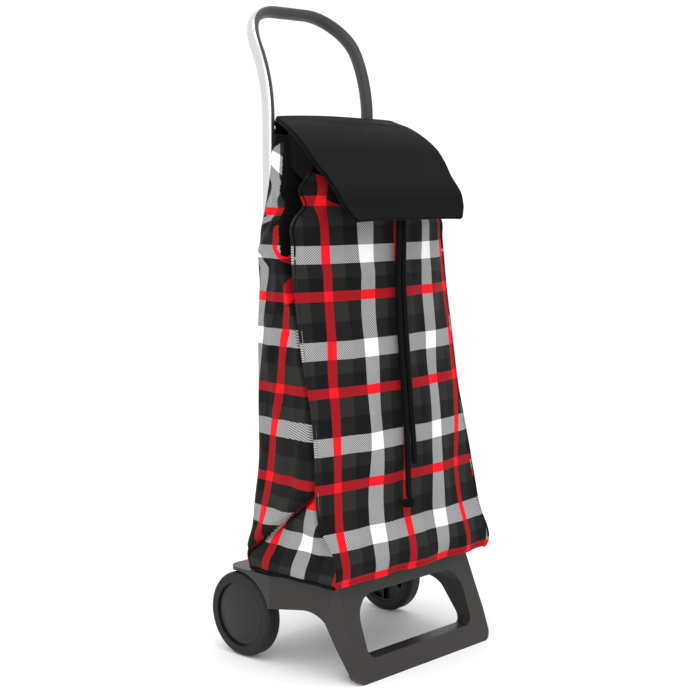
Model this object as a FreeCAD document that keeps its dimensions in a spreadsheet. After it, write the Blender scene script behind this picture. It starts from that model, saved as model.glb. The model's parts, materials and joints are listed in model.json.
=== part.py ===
import FreeCAD, Part
import math
import os

import Sketcher

# A two-wheeled shopping trolley: a moulded base with a foot loop, two wheels on
# a steel axle, a bent handle of aluminium with a plastic liner, and a tall
# fabric bag with a hinged flap and a drawstring.
# Frame: +X to the right seen from the front, front towards -Y, +Z up, origin on
# the floor under the middle of the trolley's box. Millimetres.

doc = FreeCAD.newDocument("shopping_trolley")
sheet = doc.addObject("Spreadsheet::Sheet", "dims")
Vector = FreeCAD.Vector
X_AXIS, Y_AXIS, Z_AXIS = Vector(1, 0, 0), Vector(0, 1, 0), Vector(0, 0, 1)

DRIVING = {
    # wheels and axle
    "wheel_diameter": 132, "tyre_width": 28, "tyre_height": 16, "tyre_shoulder": 7,
    "track_over_tyres": 356, "axle_back": 80, "axle_diameter": 10, "running_gap": 0.05,
    "fit_gap": 0.1, "body_gap": 0.4, "bushing_wall": 3, "bushing_length": 24, "flange_width": 3,
    "flange_thickness": 1.6, "hub_wall": 4.5, "hub_length": 20.4, "rim_wall": 4,
    "rim_inset": 2, "rim_width": 21.8,
    "web_thickness": 4, "web_inset": 8, "rib_thickness": 3, "rib_height": 7, "rib_count": 6,
    "cap_lip": 2.5, "cap_wall": 1.8, "cap_dome_radius": 300, "cap_skirt_depth": 6, "cap_skirt_wall": 2,
    "clip_diameter": 20, "clip_thickness": 2.4, "axle_end_past_clip": 0.6,
    # base moulding
    "deck_thickness": 5, "deck_front": -104, "deck_past_axle": 27, "lip_height": 21,
    "foot_front": -153, "foot_depth": 20, "heel_height": 15, "heel_back": -132,
    "crotch_back": -67, "crotch_drop": 43, "crotch_radius": 45, "arm_bottom_back": 18,
    "arm_depth": 52, "arm_overlap": 25, "leg_half_top": 147, "leg_half_low": 155, "leg_wide_height": 45,
    "leg_corner_radius": 17, "nose_half": 146, "nose_back": -102, "nose_reach": 30,
    "mudguard_lead": 2, "mudguard_corner": 22, "well_gap": 3, "wheel_side_gap": 4,
    "opening_half": 120, "opening_bottom": 31, "opening_low_radius": 16,
    "opening_high_radius": 38, "opening_back": -60, "arm_width": 28, "cavity_front": -64,
    "arm_wall": 4, "arm_pocket_front": -58, "arm_pocket_back": 6, "rear_pocket_front": 24,
    "rear_pocket_back": 56, "boss_radius": 17,
    # handle
    "handle_half": 110, "handle_ahead": 4, "handle_depth": 22, "handle_width": 16,
    "rail_chord": 3.5, "handle_sink": 55, "leg_rise": 690, "bend_radius": 230, "bend_angle": 37,
    "bend_tail": 34.0, "corner_radius": 76, "socket_wall": 4, "socket_floor": 4,
    "screw_diameter": 4, "screw_head": 8, "screw_head_height": 2.5, "screw_drop": 28,
    # bag
    "fabric": 2, "bag_gap": 0.3, "sole_thickness": 1.8, "board_thickness": 3, "sole_half": 160, "sole_inset": 1,
    "bag_clearance": 1, "mouth_low_back": -78, "mouth_low_rise": 578, "mouth_high_ahead": 13,
    "mouth_high_rise": 666, "mouth_half": 60, "mouth_front": -30, "mouth_back": 20, "board_inset": 6,
    "rivet_diameter": 6, "rivet_head": 14, "rivet_head_height": 2, "rivet_half": 90,
    "rivet_front": -48, "rivet_back": 30,
    # hanger
    "rod_diameter": 6, "rod_standoff": 7, "rod_rise": 672, "rod_past_leg": 2, "hanger_reach": 11,
    "hanger_wall": 4.5, "hanger_grip": 4, "hanger_rear_wall": 3, "loop_wall": 2, "loop_length": 40,
    "loop_spacing": 66, "tape_half": 119, "tape_drop": 0.2, "tape_reach": 1.1,
    # flap
    "flap_thickness": 2, "flap_board": 1.6, "flap_board_inset": 9, "flap_end_reach": 8,
    # cord lock and cords
    "lock_height": 20, "lock_width": 32, "lock_depth": 15, "lock_rise": 544, "lock_side": 12,
    "lock_wall": 2.4, "button_width": 13, "button_depth": 9, "button_rise": 5,
    "button_gap": 0.3, "button_block": 7, "spring_radius": 2.6, "spring_wire": 0.7, "tab_thickness": 1.6,
    "tab_height": 26, "tab_set": 1.4, "cord_diameter": 9.4, "knot_radius": 8.5, "knot_flat_angle": 50,
}

# The bag's outline, level by level: height above the deck, front edge, how far
# the front bulges past its edges, half width at the front, half width at the
# back, and how far the back face leans in front of the bag's rear plane.
BAG_COLUMNS = ("rise", "front", "bulge", "fronthalf", "backhalf", "lean")
BAG_LEVELS = {
    "sole": (0.5, -108, 4, 168, 164, 0),
    "hem": (15, -129, 3, 172, 171, 0),
    "flare": (95, -100, 11, 177, 164, 0),
    "knee": (205, -82, 18, 170, 157, 0),
    "waist": (340, -56, 26, 168.5, 152, 0),
    "chest": (485, -36, 36, 166, 148, 0),
    "shoulder": (573, -34, 42, 150, 137, 0),
    "collar": (605, -38, 42, 130, 126, 0),
    "neck": (640, -38, 42, 126, 124, 0),
    "crown": (660, -38, 42, 124, 122, 11.1),
}

# The flap's top line from its hinge edge down to its front edge: distance back,
# height above the deck, half width there.
FLAP_COLUMNS = ("back", "rise", "half")
FLAP_STATIONS = {
    "hinge": (42, 688, 128),
    "crown": (3, 671, 140),
    "brow": (-41, 638, 147),
    "turn": (-56, 620, 146),
    "cheek": (-74, 599, 139),
    "drop": (-97, 570, 137),
    "chin": (-106, 551, 131),
    "edge": (-114, 536, 119),
}

# The drawstring ends, as free routes: distances to the side, back, and up.
LONG_CORD_ROUTE = [
    (7.0, -85.8, 684.0), (7.0, -85.8, 652.0), (8.2, -81.4, 592.0), (7.6, -86.0, 525.0),
    (6.2, -92.6, 458.0), (3.6, -101.8, 392.0), (0.4, -109.6, 330.0), (-6.2, -116.8, 276.0),
    (-9.4, -121.6, 252.0),
]
SHORT_CORD_ROUTE = [
    (16.8, -85.8, 684.0), (17.0, -86.2, 652.0), (18.0, -83.8, 590.0), (17.2, -89.0, 522.0),
    (15.6, -96.2, 456.0), (13.2, -105.0, 390.0), (10.2, -112.8, 336.0), (8.6, -117.4, 302.0),
]


class Size:
    """A length that carries its value and the sheet formula that gives it."""

    def __init__(self, formula, value):
        self.formula, self.value = formula, float(value)

    def __add__(self, other):
        other = as_size(other)
        return Size(f"({self.formula} + {other.formula})", self.value + other.value)

    def __sub__(self, other):
        other = as_size(other)
        return Size(f"({self.formula} - {other.formula})", self.value - other.value)

    def __mul__(self, factor):
        return Size(f"({self.formula} * {factor})", self.value * factor)

    def __truediv__(self, divisor):
        return Size(f"({self.formula} / {divisor})", self.value / divisor)

    def __neg__(self):
        return Size(f"(-1 * {self.formula})", -self.value)

    __radd__ = __add__
    __rmul__ = __mul__

    def __rsub__(self, other):
        return as_size(other) - self


def as_size(value):
    """Wrap a plain number so that it can be mixed with sheet sizes."""
    return value if isinstance(value, Size) else Size(f"({value})", value)


def fill_sheet(entries):
    """Write each named number on its own row and return it as a Size."""
    sizes = {}
    for row, (alias, value) in enumerate(entries.items(), start=1):
        sheet.set(f"A{row}", alias)
        sheet.set(f"B{row}", str(value))
        sheet.setAlias(f"B{row}", alias)
        sizes[alias] = Size(f"dims.{alias}", value)
    return sizes


entries = dict(DRIVING)
for level, values in BAG_LEVELS.items():
    entries.update({f"bag_{level}_{column}": v for column, v in zip(BAG_COLUMNS, values)})
for station, values in FLAP_STATIONS.items():
    entries.update({f"flap_{station}_{column}": v for column, v in zip(FLAP_COLUMNS, values)})
D = fill_sheet(entries)
doc.recompute()

subparts = {}


# ---------------------------------------------------------------- helpers

def bind(obj, **sizes):
    """Bind properties of obj to sheet formulas; a double underscore is a dot."""
    for name, size in sizes.items():
        size = as_size(size)
        if "__" not in name:
            setattr(obj, name, size.value)
        obj.setExpression(name.replace("__", "."), size.formula)
    return obj


def place(obj, x, y, z, rotation=None):
    """Turn an object, and bind its position to sheet formulas."""
    obj.Placement = FreeCAD.Placement(
        Vector(as_size(x).value, as_size(y).value, as_size(z).value), rotation or FreeCAD.Rotation())
    return bind(obj, Placement__Base__x=x, Placement__Base__y=y, Placement__Base__z=z)


def box(name, x_range, y_range, z_range):
    """A box between two bounds on each axis."""
    obj = doc.addObject("Part::Box", name)
    (x0, x1), (y0, y1), (z0, z1) = x_range, y_range, z_range
    bind(obj, Length=as_size(x1) - x0, Width=as_size(y1) - y0, Height=as_size(z1) - z0)
    return place(obj, x0, y0, z0)


def rod_x(name, radius, x_range, y, z):
    """A cylinder whose axis runs along X."""
    obj = doc.addObject("Part::Cylinder", name)
    bind(obj, Radius=radius, Height=as_size(x_range[1]) - x_range[0])
    return place(obj, x_range[0], y, z, FreeCAD.Rotation(Y_AXIS, 90))


def rod_y(name, radius, x, y_range, z):
    """A cylinder whose axis runs along Y."""
    obj = doc.addObject("Part::Cylinder", name)
    bind(obj, Radius=radius, Height=as_size(y_range[1]) - y_range[0])
    return place(obj, x, y_range[0], z, FreeCAD.Rotation(X_AXIS, -90))


def rod_z(name, radius, x, y, z_range):
    """A cylinder whose axis runs along Z."""
    obj = doc.addObject("Part::Cylinder", name)
    bind(obj, Radius=radius, Height=as_size(z_range[1]) - z_range[0])
    return place(obj, x, y, z_range[0])


def cut(name, base, *tools):
    """Take every tool away from base."""
    tool = tools[0] if len(tools) == 1 else fuse(name + "_tools", *tools)
    obj = doc.addObject("Part::Cut", name)
    obj.Base, obj.Tool = base, tool
    return obj


def fuse(name, *shapes):
    """Join shapes into one solid."""
    obj = doc.addObject("Part::MultiFuse", name)
    obj.Shapes = list(shapes)
    return obj


def common(name, *shapes):
    """Keep only what all the shapes share."""
    obj = doc.addObject("Part::MultiCommon", name)
    obj.Shapes = list(shapes)
    return obj


def group(name, *shapes):
    """Hold separate solids together as one sub-part."""
    obj = doc.addObject("Part::Compound", name)
    obj.Links = list(shapes)
    return obj


def feature(name, shape):
    """A free-form sub-part whose shape comes from Part's own functions."""
    obj = doc.addObject("Part::Feature", name)
    obj.Shape = shape
    obj.Placement = FreeCAD.Placement()
    return obj


def subpart(node, obj):
    """Register a finished object as the node of that name."""
    obj.Label = node
    subparts[node] = obj
    return obj


def prism(name, plane, outline, span, fillets=()):
    """A PartDesign body: a closed outline on an origin plane, padded to a span.

    The outline's corners are bound to the sheet one by one. Each fillet is a
    corner number and a radius, and rounds the edge that the corner leaves.
    """
    body = doc.addObject("PartDesign::Body", name)
    sketch = body.newObject("Sketcher::SketchObject", name + "_outline")
    origin_plane = next(f for f in body.Origin.OriginFeatures if f.Role == plane)
    sketch.AttachmentSupport = [(origin_plane, "")]
    sketch.MapMode = "FlatFace"
    corners = [(as_size(u), as_size(v)) for u, v in outline]
    count = len(corners)
    for i, (u, v) in enumerate(corners):
        next_u, next_v = corners[(i + 1) % count]
        start, end = Vector(u.value, v.value, 0), Vector(next_u.value, next_v.value, 0)
        sketch.addGeometry(Part.LineSegment(start, end), False)
    for i, (u, v) in enumerate(corners):
        sketch.addConstraint(Sketcher.Constraint("Coincident", i, 2, (i + 1) % count, 1))
    for i, (u, v) in enumerate(corners):
        for kind, size in (("DistanceX", u), ("DistanceY", v)):
            index = sketch.addConstraint(Sketcher.Constraint(kind, -1, 1, i, 1, size.value))
            sketch.setExpression(f"Constraints[{index}]", size.formula)
    pad = body.newObject("PartDesign::Pad", name + "_pad")
    pad.Profile = sketch
    low, high = as_size(span[0]), as_size(span[1])
    # A sketch on XZ_Plane faces -Y, so its span is counted the other way.
    if plane == "XZ_Plane":
        low, high = -high, -low
    bind(pad, Length=high - low)
    bind(sketch, AttachmentOffset__Base__z=low)
    doc.recompute()
    tip = pad
    for corner, radius in fillets:
        u, v = corners[corner]
        tip = corner_fillet(body, name, tip, sketch, (u.value, v.value), radius)
    body.Tip = tip
    return body


def corner_fillet(body, name, tip, sketch, corner, radius):
    """Round the padded edge that runs through one corner of the outline."""
    inverse = sketch.Placement.inverse()
    found = None
    for number, edge in enumerate(tip.Shape.Edges, start=1):
        ends = [inverse.multVec(vertex.Point) for vertex in edge.Vertexes]
        if all(math.hypot(p.x - corner[0], p.y - corner[1]) < 0.001 for p in ends) and len(ends) == 2:
            found = f"Edge{number}"
    rounding = body.newObject("PartDesign::Fillet", name + "_round")
    rounding.Base = (tip, [found])
    bind(rounding, Radius=radius)
    doc.recompute()
    return rounding


def mirrored_outline(right_side):
    """Close an outline that is the same on both sides of the middle plane."""
    left_side = [(-as_size(u), v) for u, v in reversed(right_side)]
    return list(right_side) + left_side


# ---------------------------------------------------------------- wheels

AXLE_Y = D["axle_back"]
AXLE_Z = D["wheel_diameter"] / 2
OUTER_FACE = D["track_over_tyres"] / 2
INNER_FACE = OUTER_FACE - D["tyre_width"]
PAST = 1  # how far a cutting tool runs past the face that it cuts
WELL_INNER = INNER_FACE - D["wheel_side_gap"]
RIM_RADIUS = D["wheel_diameter"] / 2 - D["tyre_height"]
RIM_INNER = RIM_RADIUS - D["rim_wall"]
AXLE_RADIUS = D["axle_diameter"] / 2
BORE_RADIUS = AXLE_RADIUS + D["running_gap"]
BUSHING_RADIUS = BORE_RADIUS + D["bushing_wall"]
HUB_BORE = BUSHING_RADIUS + D["running_gap"]
HUB_RADIUS = HUB_BORE + D["hub_wall"]
BUSHING_START = WELL_INNER + D["body_gap"]
HUB_START = BUSHING_START + D["flange_thickness"]
HUB_END = HUB_START + D["hub_length"]
BUSHING_END = BUSHING_START + D["bushing_length"]
CLIP_START = BUSHING_END + D["body_gap"]
CLIP_END = CLIP_START + D["clip_thickness"]
AXLE_END = CLIP_END + D["axle_end_past_clip"]
RIM_START = INNER_FACE + D["rim_inset"]
RIM_END = RIM_START + D["rim_width"]


def outward(side, start, end):
    """A span along X, given as distances from the middle, on one side."""
    return (start, end) if side > 0 else (-as_size(end), -as_size(start))


def round_edges(name, base, radius, wanted):
    """Round the edges of base that a test picks out."""
    doc.recompute()
    obj = doc.addObject("Part::Fillet", name)
    obj.Base = base
    numbers = [i for i, edge in enumerate(base.Shape.Edges, start=1) if wanted(edge)]
    obj.Edges = [(i, radius.value, radius.value) for i in numbers]
    return obj


def make_wheel(side, name):
    """Tyre, rim with its ribs, bushing and snap-in cap of one wheel."""
    at = (AXLE_Y, AXLE_Z)
    tread = rod_x(f"{name}_tread", D["wheel_diameter"] / 2, outward(side, INNER_FACE, OUTER_FACE), *at)
    outer_radius = D["wheel_diameter"].value / 2
    rounded = round_edges(f"{name}_shoulders", tread, D["tyre_shoulder"],
                          lambda e: hasattr(e.Curve, "Radius") and abs(e.Curve.Radius - outer_radius) < 0.001)
    hole = rod_x(f"{name}_tyre_hole", RIM_RADIUS + D["running_gap"],
                 outward(side, INNER_FACE - PAST, OUTER_FACE + PAST), *at)
    subpart(f"{name}_tyre", cut(f"{name}_tyre_body", rounded, hole))

    ring = rod_x(f"{name}_ring", RIM_RADIUS, outward(side, RIM_START, RIM_END), *at)
    ring_hole = rod_x(f"{name}_ring_hole", RIM_INNER, outward(side, RIM_START - PAST, RIM_END + PAST), *at)
    web_start = RIM_START + D["web_inset"]
    web = rod_x(f"{name}_web", RIM_INNER + 1, outward(side, web_start, web_start + D["web_thickness"]), *at)
    hub = rod_x(f"{name}_hub", HUB_RADIUS, outward(side, HUB_START, HUB_END), *at)
    ribs = []
    for i in range(DRIVING["rib_count"]):
        turn = FreeCAD.Rotation(X_AXIS, 360 / DRIVING["rib_count"] * i)
        rib = doc.addObject("Part::Box", f"{name}_rib{i}")
        bind(rib, Length=D["rib_height"], Width=D["rib_thickness"], Height=RIM_INNER + 1 - BUSHING_RADIUS)
        corner = turn.multVec(Vector(0, -DRIVING["rib_thickness"] / 2, BUSHING_RADIUS.value))
        rib_x = outward(side, web_start - D["rib_height"], web_start)[0]
        place(rib, rib_x, AXLE_Y + corner.y, AXLE_Z + corner.z, turn)
        ribs.append(rib)
    spokes = fuse(f"{name}_spokes", cut(f"{name}_ring_wall", ring, ring_hole), web, hub, *ribs)
    bore = rod_x(f"{name}_bore", HUB_BORE, outward(side, BUSHING_START - PAST, OUTER_FACE + PAST), *at)
    subpart(f"{name}_rim", cut(f"{name}_rim_body", spokes, bore))

    sleeve = rod_x(f"{name}_sleeve", BUSHING_RADIUS, outward(side, BUSHING_START, BUSHING_END), *at)
    flange = rod_x(f"{name}_flange", BUSHING_RADIUS + D["flange_width"],
                   outward(side, BUSHING_START, HUB_START), *at)
    axle_way = rod_x(f"{name}_axle_way", BORE_RADIUS, outward(side, BUSHING_START - PAST, OUTER_FACE + PAST), *at)
    subpart(f"{name}_bushing", cut(f"{name}_bushing_body", fuse(f"{name}_flanged", sleeve, flange), axle_way))

    lip_radius = RIM_INNER + D["cap_lip"]
    skirt_radius = RIM_INNER - D["fit_gap"]
    lip_start = RIM_END + D["fit_gap"]
    dome_centre = outward(side, OUTER_FACE - D["cap_dome_radius"], OUTER_FACE)[0 if side > 0 else 1]

    def dome(label, radius):
        """A ball whose outer pole is the wheel's outermost point."""
        ball = doc.addObject("Part::Sphere", label)
        bind(ball, Radius=radius)
        return place(ball, dome_centre, AXLE_Y, AXLE_Z)

    plate = rod_x(f"{name}_cap_plate", lip_radius, outward(side, lip_start, OUTER_FACE + PAST), *at)
    domed = common(f"{name}_cap_domed", plate, dome(f"{name}_cap_ball", D["cap_dome_radius"]))
    skirt = rod_x(f"{name}_cap_skirt", skirt_radius,
                  outward(side, lip_start - D["cap_skirt_depth"], lip_start + PAST), *at)
    hollow = rod_x(f"{name}_cap_hollow", skirt_radius - D["cap_skirt_wall"],
                   outward(side, lip_start - D["cap_skirt_depth"] - PAST, OUTER_FACE + PAST), *at)
    space = common(f"{name}_cap_space", hollow,
                   dome(f"{name}_cap_inside", D["cap_dome_radius"] - D["cap_wall"]))
    subpart(f"{name}_cap", cut(f"{name}_cap_body", fuse(f"{name}_cap_solid", domed, skirt), space))


for wheel_side, wheel_name in ((-1, "wheel_left"), (1, "wheel_right")):
    make_wheel(wheel_side, wheel_name)

subpart("axle", rod_x("axle_rod", AXLE_RADIUS, (-AXLE_END, AXLE_END), AXLE_Y, AXLE_Z))
for wheel_side, side_name in ((-1, "left"), (1, "right")):
    clip_span = outward(wheel_side, CLIP_START, CLIP_END)
    clip_disc = rod_x(f"clip_disc_{side_name}", D["clip_diameter"] / 2, clip_span, AXLE_Y, AXLE_Z)
    clip_hole = rod_x(f"clip_hole_{side_name}", AXLE_RADIUS + D["running_gap"],
                      outward(wheel_side, CLIP_START - PAST, CLIP_END + PAST), AXLE_Y, AXLE_Z)
    subpart(f"axle_clip_{side_name}", cut(f"clip_{side_name}", clip_disc, clip_hole))


# ---------------------------------------------------------------- base moulding

DECK_TOP = D["wheel_diameter"] + D["well_gap"] + D["deck_thickness"]
DECK_BACK = AXLE_Y + D["deck_past_axle"]
ARM_BOTTOM = DECK_TOP - D["arm_depth"]
CROTCH_HEIGHT = DECK_TOP - D["crotch_drop"]
CAVITY_HALF = WELL_INNER - D["arm_width"]
HANDLE_Y = AXLE_Y - D["handle_ahead"]
HANDLE_FOOT = DECK_TOP - D["handle_sink"]
BEND_START = DECK_TOP + D["leg_rise"]
SCREW_Z = DECK_TOP - D["screw_drop"]


def oval(centre, across, along, width, depth):
    """A closed oval wire, its width along one direction and depth along another."""
    points = []
    for i in range(24):
        angle = math.radians(15 * i)
        points.append(centre + across * (width / 2 * math.cos(angle)) + along * (depth / 2 * math.sin(angle)))
    curve = Part.BSplineCurve()
    curve.interpolate(points, PeriodicFlag=True)
    return Part.Wire([curve.toShape()])


def oval_hole(name, side, gap, z_range):
    """The way for one handle leg, an upright oval prism with a clearance."""
    z0, z1 = (as_size(z).value for z in z_range)
    centre = Vector(side * D["handle_half"].value, HANDLE_Y.value, z0)
    wire = oval(centre, X_AXIS, Y_AXIS, D["handle_width"].value + 2 * gap, D["handle_depth"].value + 2 * gap)
    return feature(name, Part.Face(wire).extrude(Vector(0, 0, z1 - z0)))


def make_base():
    """Deck, arms, mudguards and foot loop, one moulding."""
    side_view = prism("base_side_view", "YZ_Plane", [
        (D["deck_front"], DECK_TOP),
        (D["foot_front"], 0),
        (D["foot_front"] + D["foot_depth"], 0),
        (D["heel_back"], D["heel_height"]),
        (D["crotch_back"], CROTCH_HEIGHT),
        (D["arm_bottom_back"], ARM_BOTTOM),
        (DECK_BACK, ARM_BOTTOM),
        (DECK_BACK, DECK_TOP),
    ], (-OUTER_FACE, OUTER_FACE), fillets=[(4, D["crotch_radius"])])
    plan = prism("base_plan", "XY_Plane", mirrored_outline([
        (D["nose_half"], D["deck_front"] - D["nose_reach"]),
        (D["nose_half"], D["nose_back"]),
        (OUTER_FACE, AXLE_Y - D["wheel_diameter"] / 2 - D["mudguard_lead"]),
        (OUTER_FACE, DECK_BACK),
    ]), (CROTCH_HEIGHT - D["arm_overlap"], DECK_TOP + PAST),
        fillets=[(3, D["mudguard_corner"]), (4, D["mudguard_corner"])])
    front_view = prism("base_front_view", "XZ_Plane", mirrored_outline([
        (D["leg_half_low"], 0),
        (D["leg_half_low"], D["leg_wide_height"]),
        (D["leg_half_top"], DECK_TOP),
    ]), (D["foot_front"] - 1, D["crotch_back"] + 10),
        fillets=[(0, D["leg_corner_radius"]), (5, D["leg_corner_radius"])])
    envelope = fuse("base_envelope", plan, front_view)
    outside = common("base_outside", side_view, envelope)

    opening = prism("base_opening", "XZ_Plane", mirrored_outline([
        (D["opening_half"], D["opening_bottom"]),
        (D["opening_half"], DECK_TOP - D["lip_height"]),
    ]), (D["foot_front"] - 1, D["opening_back"]), fillets=[
        (0, D["opening_low_radius"]), (3, D["opening_low_radius"]),
        (1, D["opening_high_radius"]), (2, D["opening_high_radius"])])
    under_deck = DECK_TOP - D["deck_thickness"]
    cavity = box("base_cavity", (-CAVITY_HALF, CAVITY_HALF),
                 (D["cavity_front"], DECK_BACK - D["arm_wall"]), (-1, under_deck))
    tools = [opening, cavity]
    pocket_inner = CAVITY_HALF + D["arm_wall"]
    pocket_outer = WELL_INNER - D["arm_wall"]
    for side in (-1, 1):
        tools.append(box("arm_pocket", outward(side, pocket_inner, pocket_outer),
                         (D["arm_pocket_front"], D["arm_pocket_back"]), (-1, under_deck)))
        tools.append(box("rear_pocket", outward(side, pocket_inner, pocket_outer),
                         (D["rear_pocket_front"], D["rear_pocket_back"]), (-1, under_deck)))
        tools.append(rod_x("wheel_well", D["wheel_diameter"] / 2 + D["well_gap"],
                           outward(side, WELL_INNER, OUTER_FACE + PAST), AXLE_Y, AXLE_Z))
    shell = cut("base_shell", outside, *tools)

    additions = [shell]
    socket_half_x = D["handle_width"] / 2 + D["socket_wall"]
    socket_half_y = D["handle_depth"] / 2 + D["socket_wall"]
    socket_bottom = HANDLE_FOOT - D["socket_floor"]
    for side in (-1, 1):
        middle = D["handle_half"] * side
        additions.append(box("handle_socket", (middle - socket_half_x, middle + socket_half_x),
                             (HANDLE_Y - socket_half_y, HANDLE_Y + socket_half_y),
                             (socket_bottom, under_deck + 1)))
        boss_span = outward(side, CAVITY_HALF, WELL_INNER)
        additions.append(rod_x("axle_boss", D["boss_radius"], boss_span, AXLE_Y, AXLE_Z))
        additions.append(box("axle_bracket", boss_span,
                             (AXLE_Y - D["boss_radius"], AXLE_Y + D["boss_radius"]),
                             (AXLE_Z, ARM_BOTTOM + 1)))
    joined = fuse("base_joined", *additions)

    bores = [rod_x("axle_bore", BORE_RADIUS, (-OUTER_FACE, OUTER_FACE), AXLE_Y, AXLE_Z)]
    for side in (-1, 1):
        bores.append(oval_hole("socket_bore", side, D["fit_gap"].value, (HANDLE_FOOT, DECK_TOP + 1)))
        bores.append(rod_y("screw_bore", D["screw_diameter"] / 2 + D["running_gap"], D["handle_half"] * side,
                           (HANDLE_Y, DECK_BACK + 1), SCREW_Z))
        bores.append(box("driver_way",
                         (D["handle_half"] * side - D["screw_head"], D["handle_half"] * side + D["screw_head"]),
                         (HANDLE_Y + socket_half_y, DECK_BACK + 1),
                         (SCREW_Z - D["screw_head"], SCREW_Z + D["screw_head"])))
    for x, y in rivet_places():
        bores.append(rod_z("deck_rivet_hole", D["rivet_diameter"] / 2 + D["fit_gap"], x, y,
                           (under_deck - 1, DECK_TOP + 1)))
    subpart("base_moulding", cut("base_body", joined, *bores))


def rivet_places():
    """Where the bag's sole is riveted to the deck."""
    return [(D["rivet_half"] * side, y) for y in (D["rivet_front"], D["rivet_back"]) for side in (-1, 1)]


make_base()


# ---------------------------------------------------------------- handle

def handle_frame(distance):
    """Place, heading, outward and depth directions at a distance along half the U.

    The U is drawn flat, legs up and corners rounded, then rolled back around a
    cylinder, which keeps every length along it.
    """
    half, corner = D["handle_half"].value, D["corner_radius"].value
    rise = math.radians(D["bend_angle"].value) * D["bend_radius"].value + D["bend_tail"].value
    straight = rise - corner
    quarter = corner * math.pi / 2
    if distance < straight:
        flat_x, flat_up, turn = half, distance, 0.0
    elif distance < straight + quarter:
        turn = (distance - straight) / corner
        flat_x = half - corner + corner * math.cos(turn)
        flat_up = straight + corner * math.sin(turn)
    else:
        turn = math.pi / 2
        flat_x, flat_up = half - corner - (distance - straight - quarter), rise
    roll = min(flat_up / D["bend_radius"].value, math.radians(D["bend_angle"].value))
    tail = max(0.0, flat_up - math.radians(D["bend_angle"].value) * D["bend_radius"].value)
    back = HANDLE_Y.value + D["bend_radius"].value * (1 - math.cos(roll)) + tail * math.sin(roll)
    up = BEND_START.value + D["bend_radius"].value * math.sin(roll) + tail * math.cos(roll)
    up_way = Vector(0, math.sin(roll), math.cos(roll))
    outward_way = X_AXIS * math.cos(turn) + up_way * math.sin(turn)
    depth_way = Vector(0, math.cos(roll), -math.sin(roll))
    return Vector(flat_x, back, up), outward_way, depth_way


def oval_part(centre, across, along, low, high, steps):
    """Part of the handle's oval between two angles, closed by a straight chord."""
    width, depth = D["handle_width"].value / 2, D["handle_depth"].value / 2
    points = []
    for i in range(steps + 1):
        angle = low + (high - low) * i / steps
        points.append(centre + across * (width * math.cos(angle)) + along * (depth * math.sin(angle)))
    curve = Part.BSplineCurve()
    curve.interpolate(points)
    return Part.Wire([curve.toShape(), Part.LineSegment(points[-1], points[0]).toShape()])


def rail_wire(centre, across, along):
    """The bright outer slice of the oval."""
    angle = math.acos(D["rail_chord"].value / (D["handle_width"].value / 2))
    return oval_part(centre, across, along, -angle, angle, 10)


def liner_wire(centre, across, along):
    """The plastic rest of the oval, a fit gap away from the rail."""
    chord = D["rail_chord"].value - D["fit_gap"].value
    angle = math.acos(chord / (D["handle_width"].value / 2))
    return oval_part(centre, across, along, angle, 2 * math.pi - angle, 14)


def handle_shape(wire_at):
    """Sweep a section up one leg and over to the middle, then mirror it."""
    rise = math.radians(D["bend_angle"].value) * D["bend_radius"].value + D["bend_tail"].value
    corner = D["corner_radius"].value
    length = rise - corner + corner * math.pi / 2 + D["handle_half"].value - corner
    stations = 22
    wires = [wire_at(*handle_frame(length * i / stations)) for i in range(stations + 1)]
    bow = Part.makeLoft(wires, True, False)
    foot = Vector(D["handle_half"].value, HANDLE_Y.value, HANDLE_FOOT.value)
    leg_length = BEND_START.value - HANDLE_FOOT.value
    leg = Part.Face(wire_at(foot, X_AXIS, Y_AXIS)).extrude(Z_AXIS * leg_length)
    half = leg.fuse(bow)
    whole = half.fuse(half.mirror(Vector(0, 0, 0), X_AXIS))
    return whole.removeSplitter()


def screw_ways():
    """Holes for both socket screws."""
    return Part.makeCompound([
        Part.makeCylinder(D["screw_diameter"].value / 2 + D["running_gap"].value, D["handle_depth"].value / 2 + 1,
                          Vector(side * D["handle_half"].value, HANDLE_Y.value, SCREW_Z.value), Y_AXIS)
        for side in (-1, 1)])


rail = handle_shape(rail_wire).cut(screw_ways())
subpart("handle_rail", feature("handle_rail_body", rail.Solids[0] if len(rail.Solids) == 1 else rail))
liner = handle_shape(liner_wire).cut(screw_ways())
subpart("handle_liner", feature("handle_liner_body", liner.Solids[0] if len(liner.Solids) == 1 else liner))

screws = []
for screw_side in (-1, 1):
    screw_x = D["handle_half"] * screw_side
    head_start = HANDLE_Y + D["handle_depth"] / 2 + D["socket_wall"]
    shank = rod_y("screw_shank", D["screw_diameter"] / 2, screw_x, (HANDLE_Y + 1, head_start + 0.5), SCREW_Z)
    head = rod_y("screw_head", D["screw_head"] / 2, screw_x,
                 (head_start, head_start + D["screw_head_height"]), SCREW_Z)
    screws.append(fuse("socket_screw", shank, head))
subpart("socket_screws", group("socket_screw_pair", *screws))


# ---------------------------------------------------------------- bag

BAG_REAR = HANDLE_Y - D["handle_depth"] / 2 - D["bag_clearance"]
BAG_FLOOR = DECK_TOP + D["bag_sole_rise"]
CROWN_TOP = DECK_TOP + D["bag_crown_rise"]
CROWN_REAR = BAG_REAR - D["bag_crown_lean"]
FAR = 1000  # longer than anything on the trolley


def level_values(level):
    """One level of the bag as plain numbers, with its height and back face in place."""
    rise, front, bulge, front_half, back_half, lean = (D[f"bag_{level}_{c}"].value for c in BAG_COLUMNS)
    return DECK_TOP.value + rise, front, bulge, front_half, back_half, BAG_REAR.value - lean


def quad(corners, height):
    """A closed four-sided wire at a height."""
    points = [Vector(x, y, height) for x, y in corners]
    return Part.makePolygon(points + points[:1])


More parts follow.
